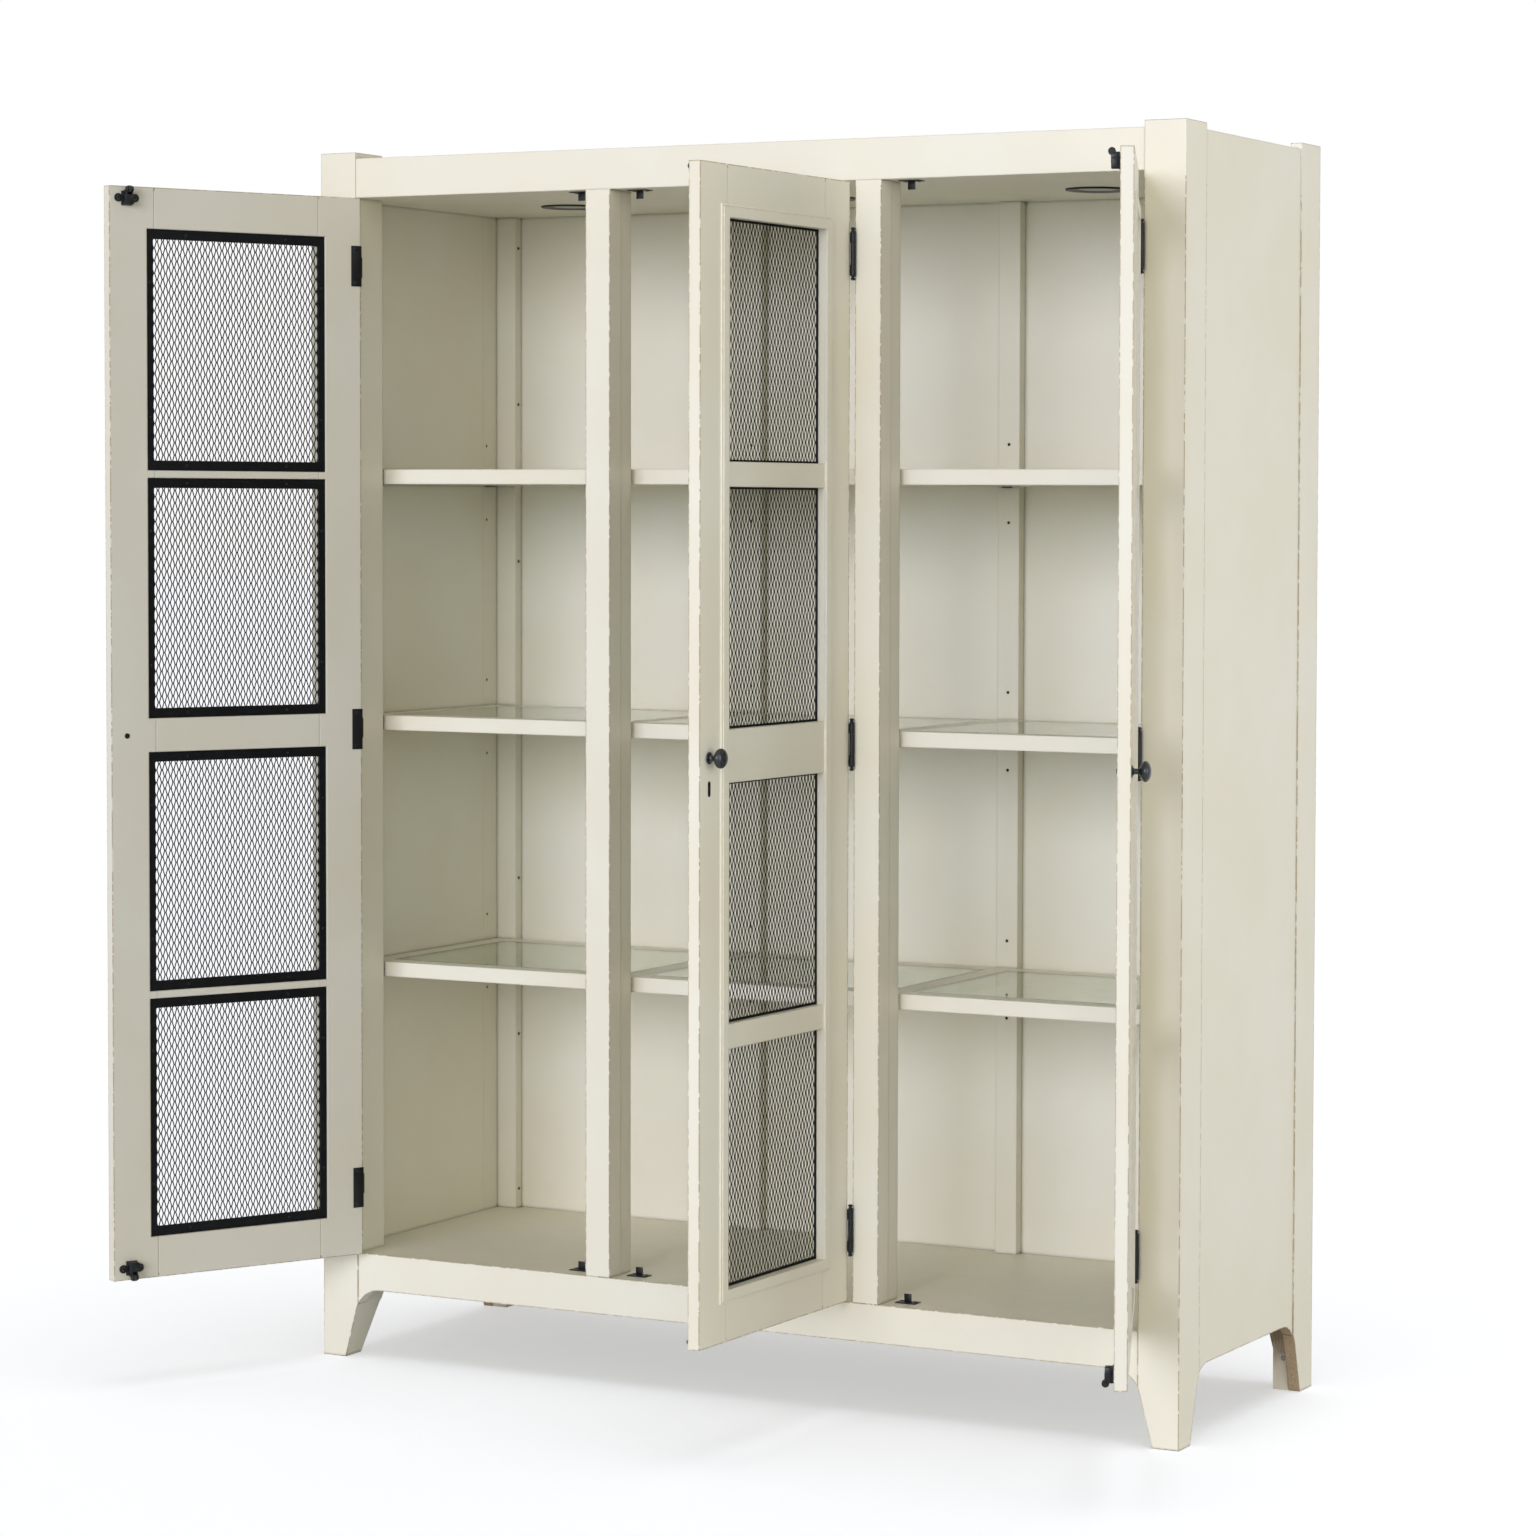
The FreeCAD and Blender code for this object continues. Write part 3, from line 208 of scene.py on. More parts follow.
def dress(tree, surface, inputs, relief, strength, depth_mm, rounded=None):
    """Feed a surface its inputs, and a bump of some strength and depth over its normal."""
    bump = add(tree, "ShaderNodeBump", {"Strength": strength, "Distance": depth_mm / 1000},
               {"Height": relief})
    if rounded is not None:
        feed(tree, bump, "Normal", rounded)
    for title, value in inputs.items():
        feed(tree, surface, title, value)
    feed(tree, surface, "Normal", bump.outputs[0])


print("tools ready; white is", [round(c, 3) for c in paint_chip("#FFFFFF")])

# %% [markdown]
# ## Painted wood
# The carcass is poplar under a warm off-white satin paint, sprayed and then rubbed through
# along its edges until the golden undercoat shows in flecks. A Bevel node compares the
# rounded normal with the true one to find the arrises; coarse noise picks where along an
# edge the paint is gone, and fine noise breaks it into flecks. Only the outer arrises below
# the top rail are rubbed. The rows of shelf holes and other narrow gaps get painted shade:
# an Ambient Occlusion node finds what lies inside a narrow hole, and the paint there is
# darkened to a deep brown. The bare tops of the posts and the sawn arches of the rear feet,
# which nobody painted, are found by place and by the way they face. Satin paint has an IOR
# near 1.5 and a roughness near 0.4.

# %% Satin paint
PAINT, PAINT_WARM, UNDERCOAT, RUBBED = "#E5E1CE", "#E2DCC5", "#B8934C", "#6E5528"
POST_TOP, SAWN_BELOW, REAR_FROM = 2.0445, 0.145, -0.2
FRONT_BEFORE, END_BEYOND, WORN_BELOW = -0.535, 0.795, 1.96
# Painted shade: how far the occlusion looks into a hole, and the dark colour painted there.
HOLE_SHADE_REACH, HOLE_SHADE_COLOUR = 0.012, "#2E271B"
HALF_DOOR_WIDTH, HALF_DOOR_HEIGHT, PIN_TO_EDGE, RUBBED_BORDER = 0.225, 0.89175, 0.0015, 0.006
joints = {joint["name"]: joint for joint in frame["joints"]}


def grain(tree, place, stretch):
    """Wood fibre: noise drawn out along the piece, fibres about 1.5 mm wide."""
    return speckle(tree, place, 1.5, 3.0, stretch)


def unpainted(tree, place):
    """1 on the tops of the posts, and on the sawn edges and inner faces of the rear feet."""
    _, depth, height = add(tree, "ShaderNodeSeparateXYZ", links={0: place}).outputs
    normal = add(tree, "ShaderNodeNewGeometry").outputs["True Normal"]
    _, ahead, up = add(tree, "ShaderNodeSeparateXYZ", links={0: normal}).outputs
    faces_in = maths(tree, maths(tree, ahead, up, "MINIMUM"), -0.25, "LESS_THAN")
    low = maths(tree, height, SAWN_BELOW, "LESS_THAN")
    rear = maths(tree, depth, REAR_FROM, "GREATER_THAN")
    sawn = maths(tree, maths(tree, faces_in, low), rear)
    return maths(tree, maths(tree, height, POST_TOP, "GREATER_THAN"), sawn, "MAXIMUM")


def perimeter(tree, place, side):
    """1 along the four outer edges of a door, 0 where its stiles and rails meet flush."""
    joint = joints[f"{side}_door_hinge"]
    hand, opened = -joint["axis"][2], math.radians(-joint["range_deg"][0])
    reach = Matrix.Rotation(opened, 3, joint["axis"]) @ Vector((hand, 0, 0))
    from_pin = add(tree, "ShaderNodeVectorMath", {"operation": "SUBTRACT", 1: joint["pos_m"]},
                   {0: place}).outputs[0]
    across = add(tree, "ShaderNodeVectorMath", {"operation": "DOT_PRODUCT", 1: reach},
                 {0: from_pin}).outputs["Value"]
    _, _, above = add(tree, "ShaderNodeSeparateXYZ", links={0: from_pin}).outputs
    masks = []
    for value, middle, half in ((across, HALF_DOOR_WIDTH + PIN_TO_EDGE, HALF_DOOR_WIDTH),
                                (above, 0.0, HALF_DOOR_HEIGHT)):
        offset = size_of(tree, maths(tree, value, middle, "SUBTRACT"))
        masks.append(maths(tree, offset, half - RUBBED_BORDER, "GREATER_THAN"))
    return maths(tree, masks[0], masks[1], "MAXIMUM")


def outside(tree, place):
    """1 on the front and the two ends of the carcass up to its top rail, 0 inside it."""
    across, depth, height = add(tree, "ShaderNodeSeparateXYZ", links={0: place}).outputs
    front = maths(tree, depth, FRONT_BEFORE, "LESS_THAN")
    end = maths(tree, size_of(tree, across), END_BEYOND, "GREATER_THAN")
    return maths(tree, maths(tree, front, end, "MAXIMUM"),
                 maths(tree, height, WORN_BELOW, "LESS_THAN"))


def make_paint(name, edge_mm=3.4, wear=1.0, side=None, carcass=False):
    """Rubbed paint. A door is worn round its perimeter only, and the carcass on its outside."""
    finish, tree, surface, place = new_finish(name)
    clouds = speckle(tree, place, 260, 3.0)
    colour = blend_colour(tree, ramp(tree, clouds, 0.35, 0.65), PAINT, PAINT_WARM)
    edge, rounded = arris(tree, edge_mm)
    stretches = ramp(tree, speckle(tree, place, 110, 2.0), 0.30, 0.44)
    flecks = ramp(tree, speckle(tree, place, 11, 4.0), 0.43, 0.49)
    worn = maths(tree, maths(tree, edge, flecks), stretches)
    worn = maths(tree, ramp(tree, worn, 0.06, 0.20), wear)
    if side:
        worn = maths(tree, worn, perimeter(tree, place, side))
    if carcass:
        worn = maths(tree, worn, outside(tree, place))
    ochre = blend_colour(tree, speckle(tree, place, 9, 2.0), UNDERCOAT, RUBBED)
    colour = blend_colour(tree, worn, colour, ochre)
    if carcass:
        # Painted shade: inside holes and narrow gaps, where shade falls, the paint turns dark
        # brown.
        hole_shade = add(tree, "ShaderNodeAmbientOcclusion", {"samples": 4, "Distance": HOLE_SHADE_REACH})
        unshaded_share = ramp(tree, hole_shade.outputs["AO"], 0.22, 0.49)
        colour = blend_colour(tree, unshaded_share, HOLE_SHADE_COLOUR, colour)
    bare = unpainted(tree, place)
    fibre = grain(tree, place, (1, 1, 4))
    wood = blend_colour(tree, ramp(tree, fibre, 0.3, 0.7), "#B29D7C", "#8C775A")
    colour = blend_colour(tree, bare, colour, wood)
    rough = ramp(tree, speckle(tree, place, 30, 2.0), 0.3, 0.7, 0.36, 0.46)
    rough = maths(tree, rough, maths(tree, worn, 0.3), "ADD")
    rough = maths(tree, rough, maths(tree, bare, 0.3), "ADD")
    skin = speckle(tree, place, 1.3, 2.0)
    long_fibre = grain(tree, place, (1, 1, 30))
    relief = maths(tree, maths(tree, skin, 0.3), maths(tree, long_fibre, 0.5), "ADD")
    relief = maths(tree, relief, maths(tree, worn, -1.5), "ADD")
    dress(tree, surface, {"Base Color": colour, "Roughness": rough, "IOR": 1.5},
          relief, 0.25, 0.2, rounded)
    return finish


satin_paint = make_paint("satin_paint_on_poplar", carcass=True)
fine_paint = make_paint("satin_paint_on_mouldings", 0.9, 0.35)
door_paints = {side: make_paint(f"satin_paint_on_{side}_door", side=side)
               for side in ("left", "middle", "right")}
print(satin_paint.name, len(satin_paint.node_tree.nodes), "nodes")

# %% [markdown]
# ## Unpainted wood
# The glue blocks behind the rear feet are raw poplar, browned by dust, with a splash of paint
# on their lower ends: growth rings a few millimetres apart, drawn out along the grain.

# %% Raw poplar
def make_raw_wood():
    finish, tree, surface, place = new_finish("raw_poplar")
    rings = add(tree, "ShaderNodeTexWave", {"bands_direction": "X", "Scale": 60.0,
                "Distortion": 6.0, "Detail": 3.0, "Detail Scale": 0.6}, {"Vector": place})
    fibre = grain(tree, place, (1, 1, 25))
    colour = blend_colour(tree, rings.outputs[1], "#8F7B5E", "#6F5D44")
    colour = blend_colour(tree, ramp(tree, fibre, 0.35, 0.7, 0.0, 0.6), colour, "#A8967A")
    height = add(tree, "ShaderNodeSeparateXYZ", links={0: place}).outputs[2]
    uneven = maths(tree, height, maths(tree, speckle(tree, place, 22, 3.0), 0.05), "ADD")
    colour = blend_colour(tree, ramp(tree, uneven, 0.11, 0.06), colour, "#CFC6AE")
    dress(tree, surface, {"Base Color": colour, "Roughness": 0.82}, fibre, 0.5, 0.4)
    return finish


raw_poplar = make_raw_wood()
print(raw_poplar.name, "for the glue blocks")

# %% [markdown]
# ## Black metal
# Hinges, catches and supports are steel with a satin black lacquer, and the knobs are the
# same over cast iron: almost black, a soft highlight, a faint orange peel about a millimetre
# across, and a slightly lighter rub where fingers and screwdrivers touch the edges. The mesh
# and its frames are powder coated, so they are rougher and a little more matt.

# %% Black lacquer and powder coat
def make_black(name, dark, light, roughness, peel_mm, edge_mm, rub, shine=0.5):
    """Clouded black with orange peel, rubbed lighter along its edges."""
    finish, tree, surface, place = new_finish(name)
    clouds = speckle(tree, place, 14, 3.0)
    colour = blend_colour(tree, ramp(tree, clouds, 0.3, 0.7), dark, light)
    edge, rounded = arris(tree, edge_mm)
    rubbed = maths(tree, edge, ramp(tree, speckle(tree, place, 3, 2.0), 0.4, 0.6))
    colour = blend_colour(tree, maths(tree, rubbed, rub), colour, "#5A5650")
    rough = ramp(tree, speckle(tree, place, 6, 3.0), 0.3, 0.7, roughness - 0.06, roughness + 0.08)
    dress(tree, surface, {"Base Color": colour, "Roughness": rough, "IOR": 1.5,
                          "Specular IOR Level": shine},
          speckle(tree, place, peel_mm, 1.0), 0.3, 0.1, rounded)
    return finish


black_lacquer = make_black("satin_black_lacquer_on_steel", "#0A0C0E", "#121416",
                           0.36, 1.1, 0.4, 0.4, 0.3)
black_iron = make_black("black_lacquer_on_cast_iron", "#0F1315", "#1C2225", 0.24, 1.6, 0.6, 0.3)
powder_coat = make_black("black_powder_coat", "#08090A", "#101113", 0.5, 0.8, 0.5, 0.2, 0.15)
nylon = make_black("black_moulded_nylon", "#18191A", "#222324", 0.42, 0.7, 0.3, 0.1)
print("black finishes:", [m.name for m in (black_lacquer, black_iron, powder_coat, nylon)])

# %% [markdown]
# ## Zinc, glass and the lamp lens
# The screws in the glue blocks are zinc plated: a metal, with a cloudy grey lustre. The
# shelves are let in with clear float glass, IOR 1.52: faintly green through its faces, and
# deep green on its edges, where light has run through it lengthways. The ceiling lamps have
# a frosted lens.

# %% Zinc plate and frosted lens
def make_cloudy(name, blot_mm, detail, colours, roughness, strength, depth_mm, inputs):
    """One noise for all: the clouds of colour, the lustre and the bump."""
    finish, tree, surface, place = new_finish(name)
    clouds = speckle(tree, place, blot_mm, detail)
    colour = blend_colour(tree, ramp(tree, clouds, 0.3, 0.7), *colours)
    rough = ramp(tree, clouds, 0.3, 0.7, *roughness)
    dress(tree, surface, {"Base Color": colour, "Roughness": rough, **inputs},
          clouds, strength, depth_mm)
    return finish


zinc = make_cloudy("zinc_plated_steel", 2.5, 3.0, ("#8D8B86", "#6A675F"), (0.35, 0.55),
                   0.3, 0.1, {"Metallic": 1.0})
frosted_lens = make_cloudy("frosted_acrylic", 1.2, 2.0, ("#B9B8B0", "#A5A49B"), (0.4, 0.55),
                           0.4, 0.2, {"IOR": 1.49})
print(zinc.name, "for the block screws,", frosted_lens.name, "for the ceiling lamps")


# %% Float glass
def make_glass():
    finish, tree, surface, place = new_finish("clear_float_glass")
    normal = add(tree, "ShaderNodeNewGeometry").outputs["True Normal"]
    _, _, up = add(tree, "ShaderNodeSeparateXYZ", links={0: normal}).outputs
    on_edge = ramp(tree, size_of(tree, up), 0.7, 0.3)
    smear = speckle(tree, place, 40, 3.0)
    clear = blend_colour(tree, ramp(tree, smear, 0.3, 0.7), "#ECF5E8", "#E3F0DE")
    colour = blend_colour(tree, on_edge, clear, "#3F6B5B")
    rough = ramp(tree, smear, 0.4, 0.75, 0.0, 0.06)
    dress(tree, surface, {"Base Color": colour, "Roughness": rough, "IOR": 1.52,
                          "Transmission Weight": 1.0}, speckle(tree, place, 90, 1.0), 0.05, 0.2)
    return finish


float_glass = make_glass()
print(float_glass.name, "for the shelf panes")

# %% [markdown]
# ## Dress the frame
# The posts, rails, panels and shelves already have their true shape, so they stay and only
# take their finish. Their mesh is loose triangles and is left alone: the Bevel node in the
# paint rounds their arrises when they are rendered.

# %% Finishes for the frame's own nodes
FINISHES = {
    "painted_wood": satin_paint, "bare_wood": raw_poplar, "black_metal": black_lacquer,
    "black_mesh_metal": powder_coat, "zinc_steel": zinc, "black_plastic": nylon,
    "lens_plastic": frosted_lens, "shelf_glass": float_glass,
}
slots = {part["node"]: part["material_slot"] for part in frame["record"]["subparts"]}
door_wood = {f"{side}_door_{part}": finish for side, finish in door_paints.items()
             for part in ("stiles", "rails")}
for name, node in frame["nodes"].items():
    node.data.materials.clear()
    node.data.materials.append(door_wood.get(name, FINISHES[slots[name]]))
print("finished", len(frame["nodes"]), "nodes in", len(set(slots.values())), "finishes")

# %% [markdown]
# ## Modelling tools
# Small ironmongery is built in millimetres from three shapes: a block with eased edges, a
# turned shape like work from a lathe, and a mitred frame, where one section runs round a
# rectangle and turns its corners. Each adds itself to an open mesh, so that a piece can be
# put together from several. `finish_piece` then merges, turns the faces outwards, scales to
# metres, and stands the piece in its place.

# %% Blocks, turnings and mitred frames
MILLIMETRES = Matrix.Scale(0.001, 4)


def add_block(mesh, corner, opposite, ease=0.4, steps=2):
    """A box between two corners with rounded edges."""
    low = Vector(map(min, corner, opposite))
    high = Vector(map(max, corner, opposite))
    size = Matrix.Diagonal((*(high - low), 1))
    made = bmesh.ops.create_cube(mesh, size=1, matrix=Matrix.Translation((low + high) / 2) @ size)
    if ease:
        edges = dict.fromkeys(edge for vert in made["verts"] for edge in vert.link_edges)
        bmesh.ops.bevel(mesh, geom=list(edges), offset=ease, segments=steps, profile=0.5,
                        affect="EDGES", clamp_overlap=True)


def add_turned(mesh, profile, centre, axis, segments=32, closed=False):
    """Turn a profile of (radius, height) pairs round an axis through a centre."""
    turn = Matrix.Translation(centre) @ Vector(axis).to_track_quat("Z", "Y").to_matrix().to_4x4()
    rings = []
    for radius, height in profile:
        if radius < 1e-6:
            rings.append([mesh.verts.new(turn @ Vector((0, 0, height)))])
            continue
        ring = []
        for step in range(segments):
            angle = 2 * math.pi * step / segments
            spot = Vector((radius * math.cos(angle), radius * math.sin(angle), height))
            ring.append(mesh.verts.new(turn @ spot))
        rings.append(ring)
    for lower, upper in zip(rings, rings[1:] + rings[:1] if closed else rings[1:]):
        for step in range(segments):
            following = (step + 1) % segments
            corners = [lower[step % len(lower)], lower[following % len(lower)],
                       upper[following % len(upper)], upper[step % len(upper)]]
            mesh.faces.new(list(dict.fromkeys(corners)))


def add_mitred(mesh, low, high, section, place, outer=0.0, inner=0.0, spread=(1, 1), steps=4):
    """Run a closed section of (inset, depth, inner share) round a rectangle.

    place turns (across, depth, up) into a point; outer and inner are the corner radii, and
    spread stretches the width of the upright bars and of the level ones.
    """
    corners = [((low[0], low[1]), 180), ((high[0], low[1]), 270),
               ((high[0], high[1]), 0), ((low[0], high[1]), 90)]
    rings = []
    for order, (corner, start) in enumerate(corners):
        way = Vector((1 if order in (0, 3) else -1, 1 if order in (0, 1) else -1))
        for step in range(steps + 1):
            angle = math.radians(start + 90 * step / steps)
            ring = []
            for inset, depth, share in section:
                radius = outer + (inner - outer) * share
                inward = Vector((inset * spread[0] + radius, inset * spread[1] + radius))
                centre = Vector(corner) + way * inward
                spot = centre + radius * Vector((math.cos(angle), math.sin(angle)))
                ring.append(mesh.verts.new(place(spot.x, depth, spot.y)))
            rings.append(ring)
            if not outer and not inner:
                break
    for ring, following in zip(rings, rings[1:] + rings[:1]):
        for index in range(len(section)):
            after = (index + 1) % len(section)
            mesh.faces.new([ring[index], ring[after], following[after], following[index]])


print("three shapes: block, turning, mitred frame")


# %% Finishing a piece
def as_data(name, mesh, place=Matrix()):
    """Turn a bmesh drawn in millimetres into mesh data in metres, moved to its place."""
    data = bpy.data.meshes.new(name)
    mesh.to_mesh(data)
    mesh.free()
    data.transform(place @ MILLIMETRES)
    return data


def finish_piece(name, mesh, finish, body, *stands_for, place=Matrix(), sharp=35):
    """Close a bmesh drawn in millimetres and stand it in the frame, riding on a body."""
    bmesh.ops.remove_doubles(mesh, verts=mesh.verts, dist=0.0005)
    bmesh.ops.recalc_face_normals(mesh, faces=mesh.faces)
    data = as_data(name, mesh, place)
    return stand(name, data, finish, body, *stands_for, sharp=sharp)


def stand(name, data, finish, body, *stands_for, sharp=35):
    """Give mesh data its finish and make it ride on a body in place of some nodes."""
    data.materials.clear()
    data.materials.append(finish)
    data.shade_smooth()
    data.set_sharp_from_angle(angle=math.radians(sharp))
    piece = put(name, data)
    if stands_for:
        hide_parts(*stands_for)
    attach(piece, body)
    data.calc_loop_triangles()
    print(f"{name}: {len(data.loop_triangles)} triangles on {body}")
    return piece


# %% [markdown]
# ## The doors' own coordinates
# Every door is drawn shut, as on a workbench: u runs from its hinge pin to its free edge, v
# from its outer face inwards and z upwards. A matrix read from the door's own joint then
# swings it open. The hand is +1 with hinges on the left and -1 with hinges on the right.

# %% Door plans
DOOR_LOW, DOOR_HIGH, DOOR_DEPTH = 183.0, 1966.5, 20.0
HINGE_EDGE, FREE_EDGE, PIN_OFFSET = 1.5, 451.5, 5.0
PANEL_LEFT, PANEL_WIDTH = 79.5, 294.0
PANEL_RIGHT = PANEL_LEFT + PANEL_WIDTH
RAILS = (80.0, 38.0, 81.0, 38.0, 80.0)
PANE_HEIGHT = (DOOR_HIGH - DOOR_LOW - sum(RAILS)) / 4
MID_DOOR = (DOOR_LOW + DOOR_HIGH) / 2
KNOB_U, CATCH_U = FREE_EDGE - 27, FREE_EDGE - 30


class DoorPlan:
    """A door's hand, its hinge pin and the matrix that swings it from shut to open."""

    def __init__(self, side):
        joint = joints[f"{side}_door_hinge"]
        self.side = side
        self.body = f"{side}_door"
        self.hand = -round(joint["axis"][2])
        self.pin = Vector((joint["pos_m"][0], joint["pos_m"][1], 0))
        opened = math.radians(-joint["range_deg"][0])
        self.place = Matrix.Translation(self.pin) @ Matrix.Rotation(opened, 4, joint["axis"])
        self.screws = []

    def at(self, u, v, z):
        """A point of the shut door, in millimetres from its hinge pin."""
        return Vector((self.hand * u, PIN_OFFSET + v, z))

    def block(self, mesh, near, far, ease=0.4):
        """A block between two points of the shut door."""
        add_block(mesh, self.at(*near), self.at(*far), ease)

    def turned(self, mesh, profile, centre, axis, segments=32):
        """A turning about a point of the shut door."""
        way = Vector((self.hand * axis[0], axis[1], axis[2]))
        add_turned(mesh, profile, self.at(*centre), way, segments)

    def piece(self, name, mesh, finish, *nodes):
        """Finish a mesh of the shut door and hang it on the door, for some of its nodes."""
        nodes = [f"{self.body}_{node}" for node in nodes]
        finish_piece(f"{self.body}_{name}", mesh, finish, self.body, *nodes, place=self.place)

    def screw(self, u, v, z, radius):
        """Note a screw whose head faces into the cupboard."""
        self.screws.append((self.at(u, v, z), (0, 1, 0), radius))


def pane_low(order):
    """Lower edge of an opening, counted from the bottom of a door."""
    return DOOR_LOW + sum(RAILS[:order + 1]) + order * PANE_HEIGHT


doors = [DoorPlan(side) for side in ("left", "middle", "right")]
print("doors:", [(door.side, door.hand) for door in doors],
      "with openings", round(PANE_HEIGHT, 1), "mm high")

# %% [markdown]
# ## Expanded mesh
# The doors are filled with expanded metal: a sheet slit in staggered rows and pulled until
# each slit opens into a diamond, here 10 mm wide and 20.4 mm high. It repeats thousands of
# times, so it is grown by Geometry Nodes. One zigzag strand is drawn up the sheet, copied
# sideways with every other copy lifted by half a diamond, and given a flat section. The
# strands lie side by side where they meet, which makes the broad joints of the real thing.

# %% Geometry Nodes tree for the mesh
def new_tree(name, inputs):
    """An empty tree that takes the inputs, and the sockets that give them."""
    tree = bpy.data.node_groups.new(name, "GeometryNodeTree")
    for title, kind in inputs:
        tree.interface.new_socket(title, in_out="INPUT", socket_type=kind)
    tree.interface.new_socket("Geometry", in_out="OUTPUT", socket_type="NodeSocketGeometry")
    given = tree.nodes.new("NodeGroupInput").outputs
    return tree, given


def close_tree(tree, shape, finish):
    """Every tree ends in real geometry with its finish on it."""
    real = add(tree, "GeometryNodeRealizeInstances", links={0: shape}).outputs[0]
    coated = add(tree, "GeometryNodeSetMaterial", links={"Geometry": real, "Material": finish})
    add(tree, "NodeGroupOutput", links={0: coated.outputs[0]})


def odd_steps(tree, amount):
    """amount on every second point of a row, 0 on the others."""
    index = add(tree, "GeometryNodeInputIndex").outputs[0]
    odd = maths(tree, index, 2.0, "MODULO")
    return maths(tree, odd, amount)


mesh_tree, given = new_tree("expanded_mesh", [
    ("Strands", "NodeSocketInt"), ("Bends", "NodeSocketInt"), ("Diamond Width", "NodeSocketFloat"),
    ("Diamond Height", "NodeSocketFloat"), ("Strand Width", "NodeSocketFloat"),
    ("Strand Thickness", "NodeSocketFloat"), ("Finish", "NodeSocketMaterial")])
half_width = maths(mesh_tree, given["Diamond Width"], 0.5)
half_height = maths(mesh_tree, given["Diamond Height"], 0.5)
rise = add(mesh_tree, "ShaderNodeCombineXYZ", links={2: half_height}).outputs[0]
spine = add(mesh_tree, "GeometryNodeMeshLine", links={"Count": given["Bends"], "Offset": rise})
swing = odd_steps(mesh_tree, maths(mesh_tree, half_width, given["Strand Width"], "SUBTRACT"))
sway = add(mesh_tree, "ShaderNodeCombineXYZ", links={0: swing}).outputs[0]
zigzag = add(mesh_tree, "GeometryNodeSetPosition", links={0: spine.outputs[0], "Offset": sway})
strand = add(mesh_tree, "GeometryNodeMeshToCurve", links={0: zigzag.outputs[0]})
sideways = add(mesh_tree, "ShaderNodeCombineXYZ", links={0: half_width}).outputs[0]
row = add(mesh_tree, "GeometryNodeMeshLine", links={"Count": given["Strands"], "Offset": sideways})
lift = add(mesh_tree, "ShaderNodeCombineXYZ", links={2: odd_steps(mesh_tree, half_height)})
staggered = add(mesh_tree, "GeometryNodeSetPosition",
                links={0: row.outputs[0], "Offset": lift.outputs[0]})
copies = add(mesh_tree, "GeometryNodeInstanceOnPoints",
             links={"Points": staggered.outputs[0], "Instance": strand.outputs[0]})
curves = add(mesh_tree, "GeometryNodeRealizeInstances", links={0: copies.outputs[0]})
section = add(mesh_tree, "GeometryNodeCurvePrimitiveQuadrilateral",
              links={"Width": given["Strand Thickness"], "Height": given["Strand Width"]})
flat_strands = add(mesh_tree, "GeometryNodeCurveToMesh", {"Fill Caps": True},
                   {0: curves.outputs[0], 1: section.outputs[0]})
close_tree(mesh_tree, flat_strands.outputs[0], given["Finish"])
print("expanded_mesh tree:", len(mesh_tree.nodes), "nodes")


# %% Growing a tree into plain mesh
def grow(name, tree, inputs, carrier=None):
    """Run a tree on a carrier mesh and return the result as plain mesh data."""
    holder = put(name, carrier or bpy.data.meshes.new(name))
    modifier = holder.modifiers.new("grow", "NODES")
    modifier.node_group = tree
    for item in tree.interface.items_tree:
        if item.in_out == "INPUT" and item.name in inputs:
            modifier[item.identifier] = inputs[item.name]
    holder.update_tag()
    graph = bpy.context.evaluated_depsgraph_get()
    data = bpy.data.meshes.new_from_object(holder.evaluated_get(graph), depsgraph=graph)
    bpy.data.objects.remove(holder)
    return data


MESH_DEPTH = 12.6
SHEET = {"Strands": 60, "Bends": 38, "Diamond Width": 10.0, "Diamond Height": 20.4,
         "Strand Width": 1.9, "Strand Thickness": 0.5}
sheet_mesh = grow("mesh_sheet", mesh_tree, {**SHEET, "Finish": powder_coat})
sheet_size = (SHEET["Strands"] * SHEET["Diamond Width"] / 2,
              (SHEET["Bends"] - 0.5) * SHEET["Diamond Height"] / 2)
print("one sheet:", len(sheet_mesh.polygons), "faces,", sheet_size, "mm")

for door in doors:
    panes = bmesh.new()
    for order in range(4):
        centre = door.at(PANEL_LEFT + PANEL_WIDTH / 2, MESH_DEPTH,
                         pane_low(order) + PANE_HEIGHT / 2)
        corner = centre - Vector((sheet_size[0] / 2, 0, sheet_size[1] / 2))
        shifted = sheet_mesh.copy()
        shifted.transform(Matrix.Translation(corner))
        panes.from_mesh(shifted)
        bpy.data.meshes.remove(shifted)
    name = f"{door.body}_expanded_mesh"
    stand(name, as_data(name, panes, door.place), powder_coat, door.body,
          f"{door.body}_mesh_panels")

# %% [markdown]
# ## Mesh frames
# Each sheet is held in its rabbet by a flat black frame, 12 mm wide at its sides and 16 mm
# at its ends, screwed to the wood with two small screws on a side. The frame is one section
# run round the opening, with rounded corners and eased edges.

# %% Mesh frames
FRAME_FACE = 17.2
FRAME_SECTION = [(0, 13.2, 0), (0, 16.7, 0), (0.5, FRAME_FACE, 0), (13.5, FRAME_FACE, 1),
                 (14, 16.7, 1), (14, 13.2, 1)]
FRAME_MARGIN, NARROW_SIDES, WIDE_ENDS = 12.6, 0.86, 1.14

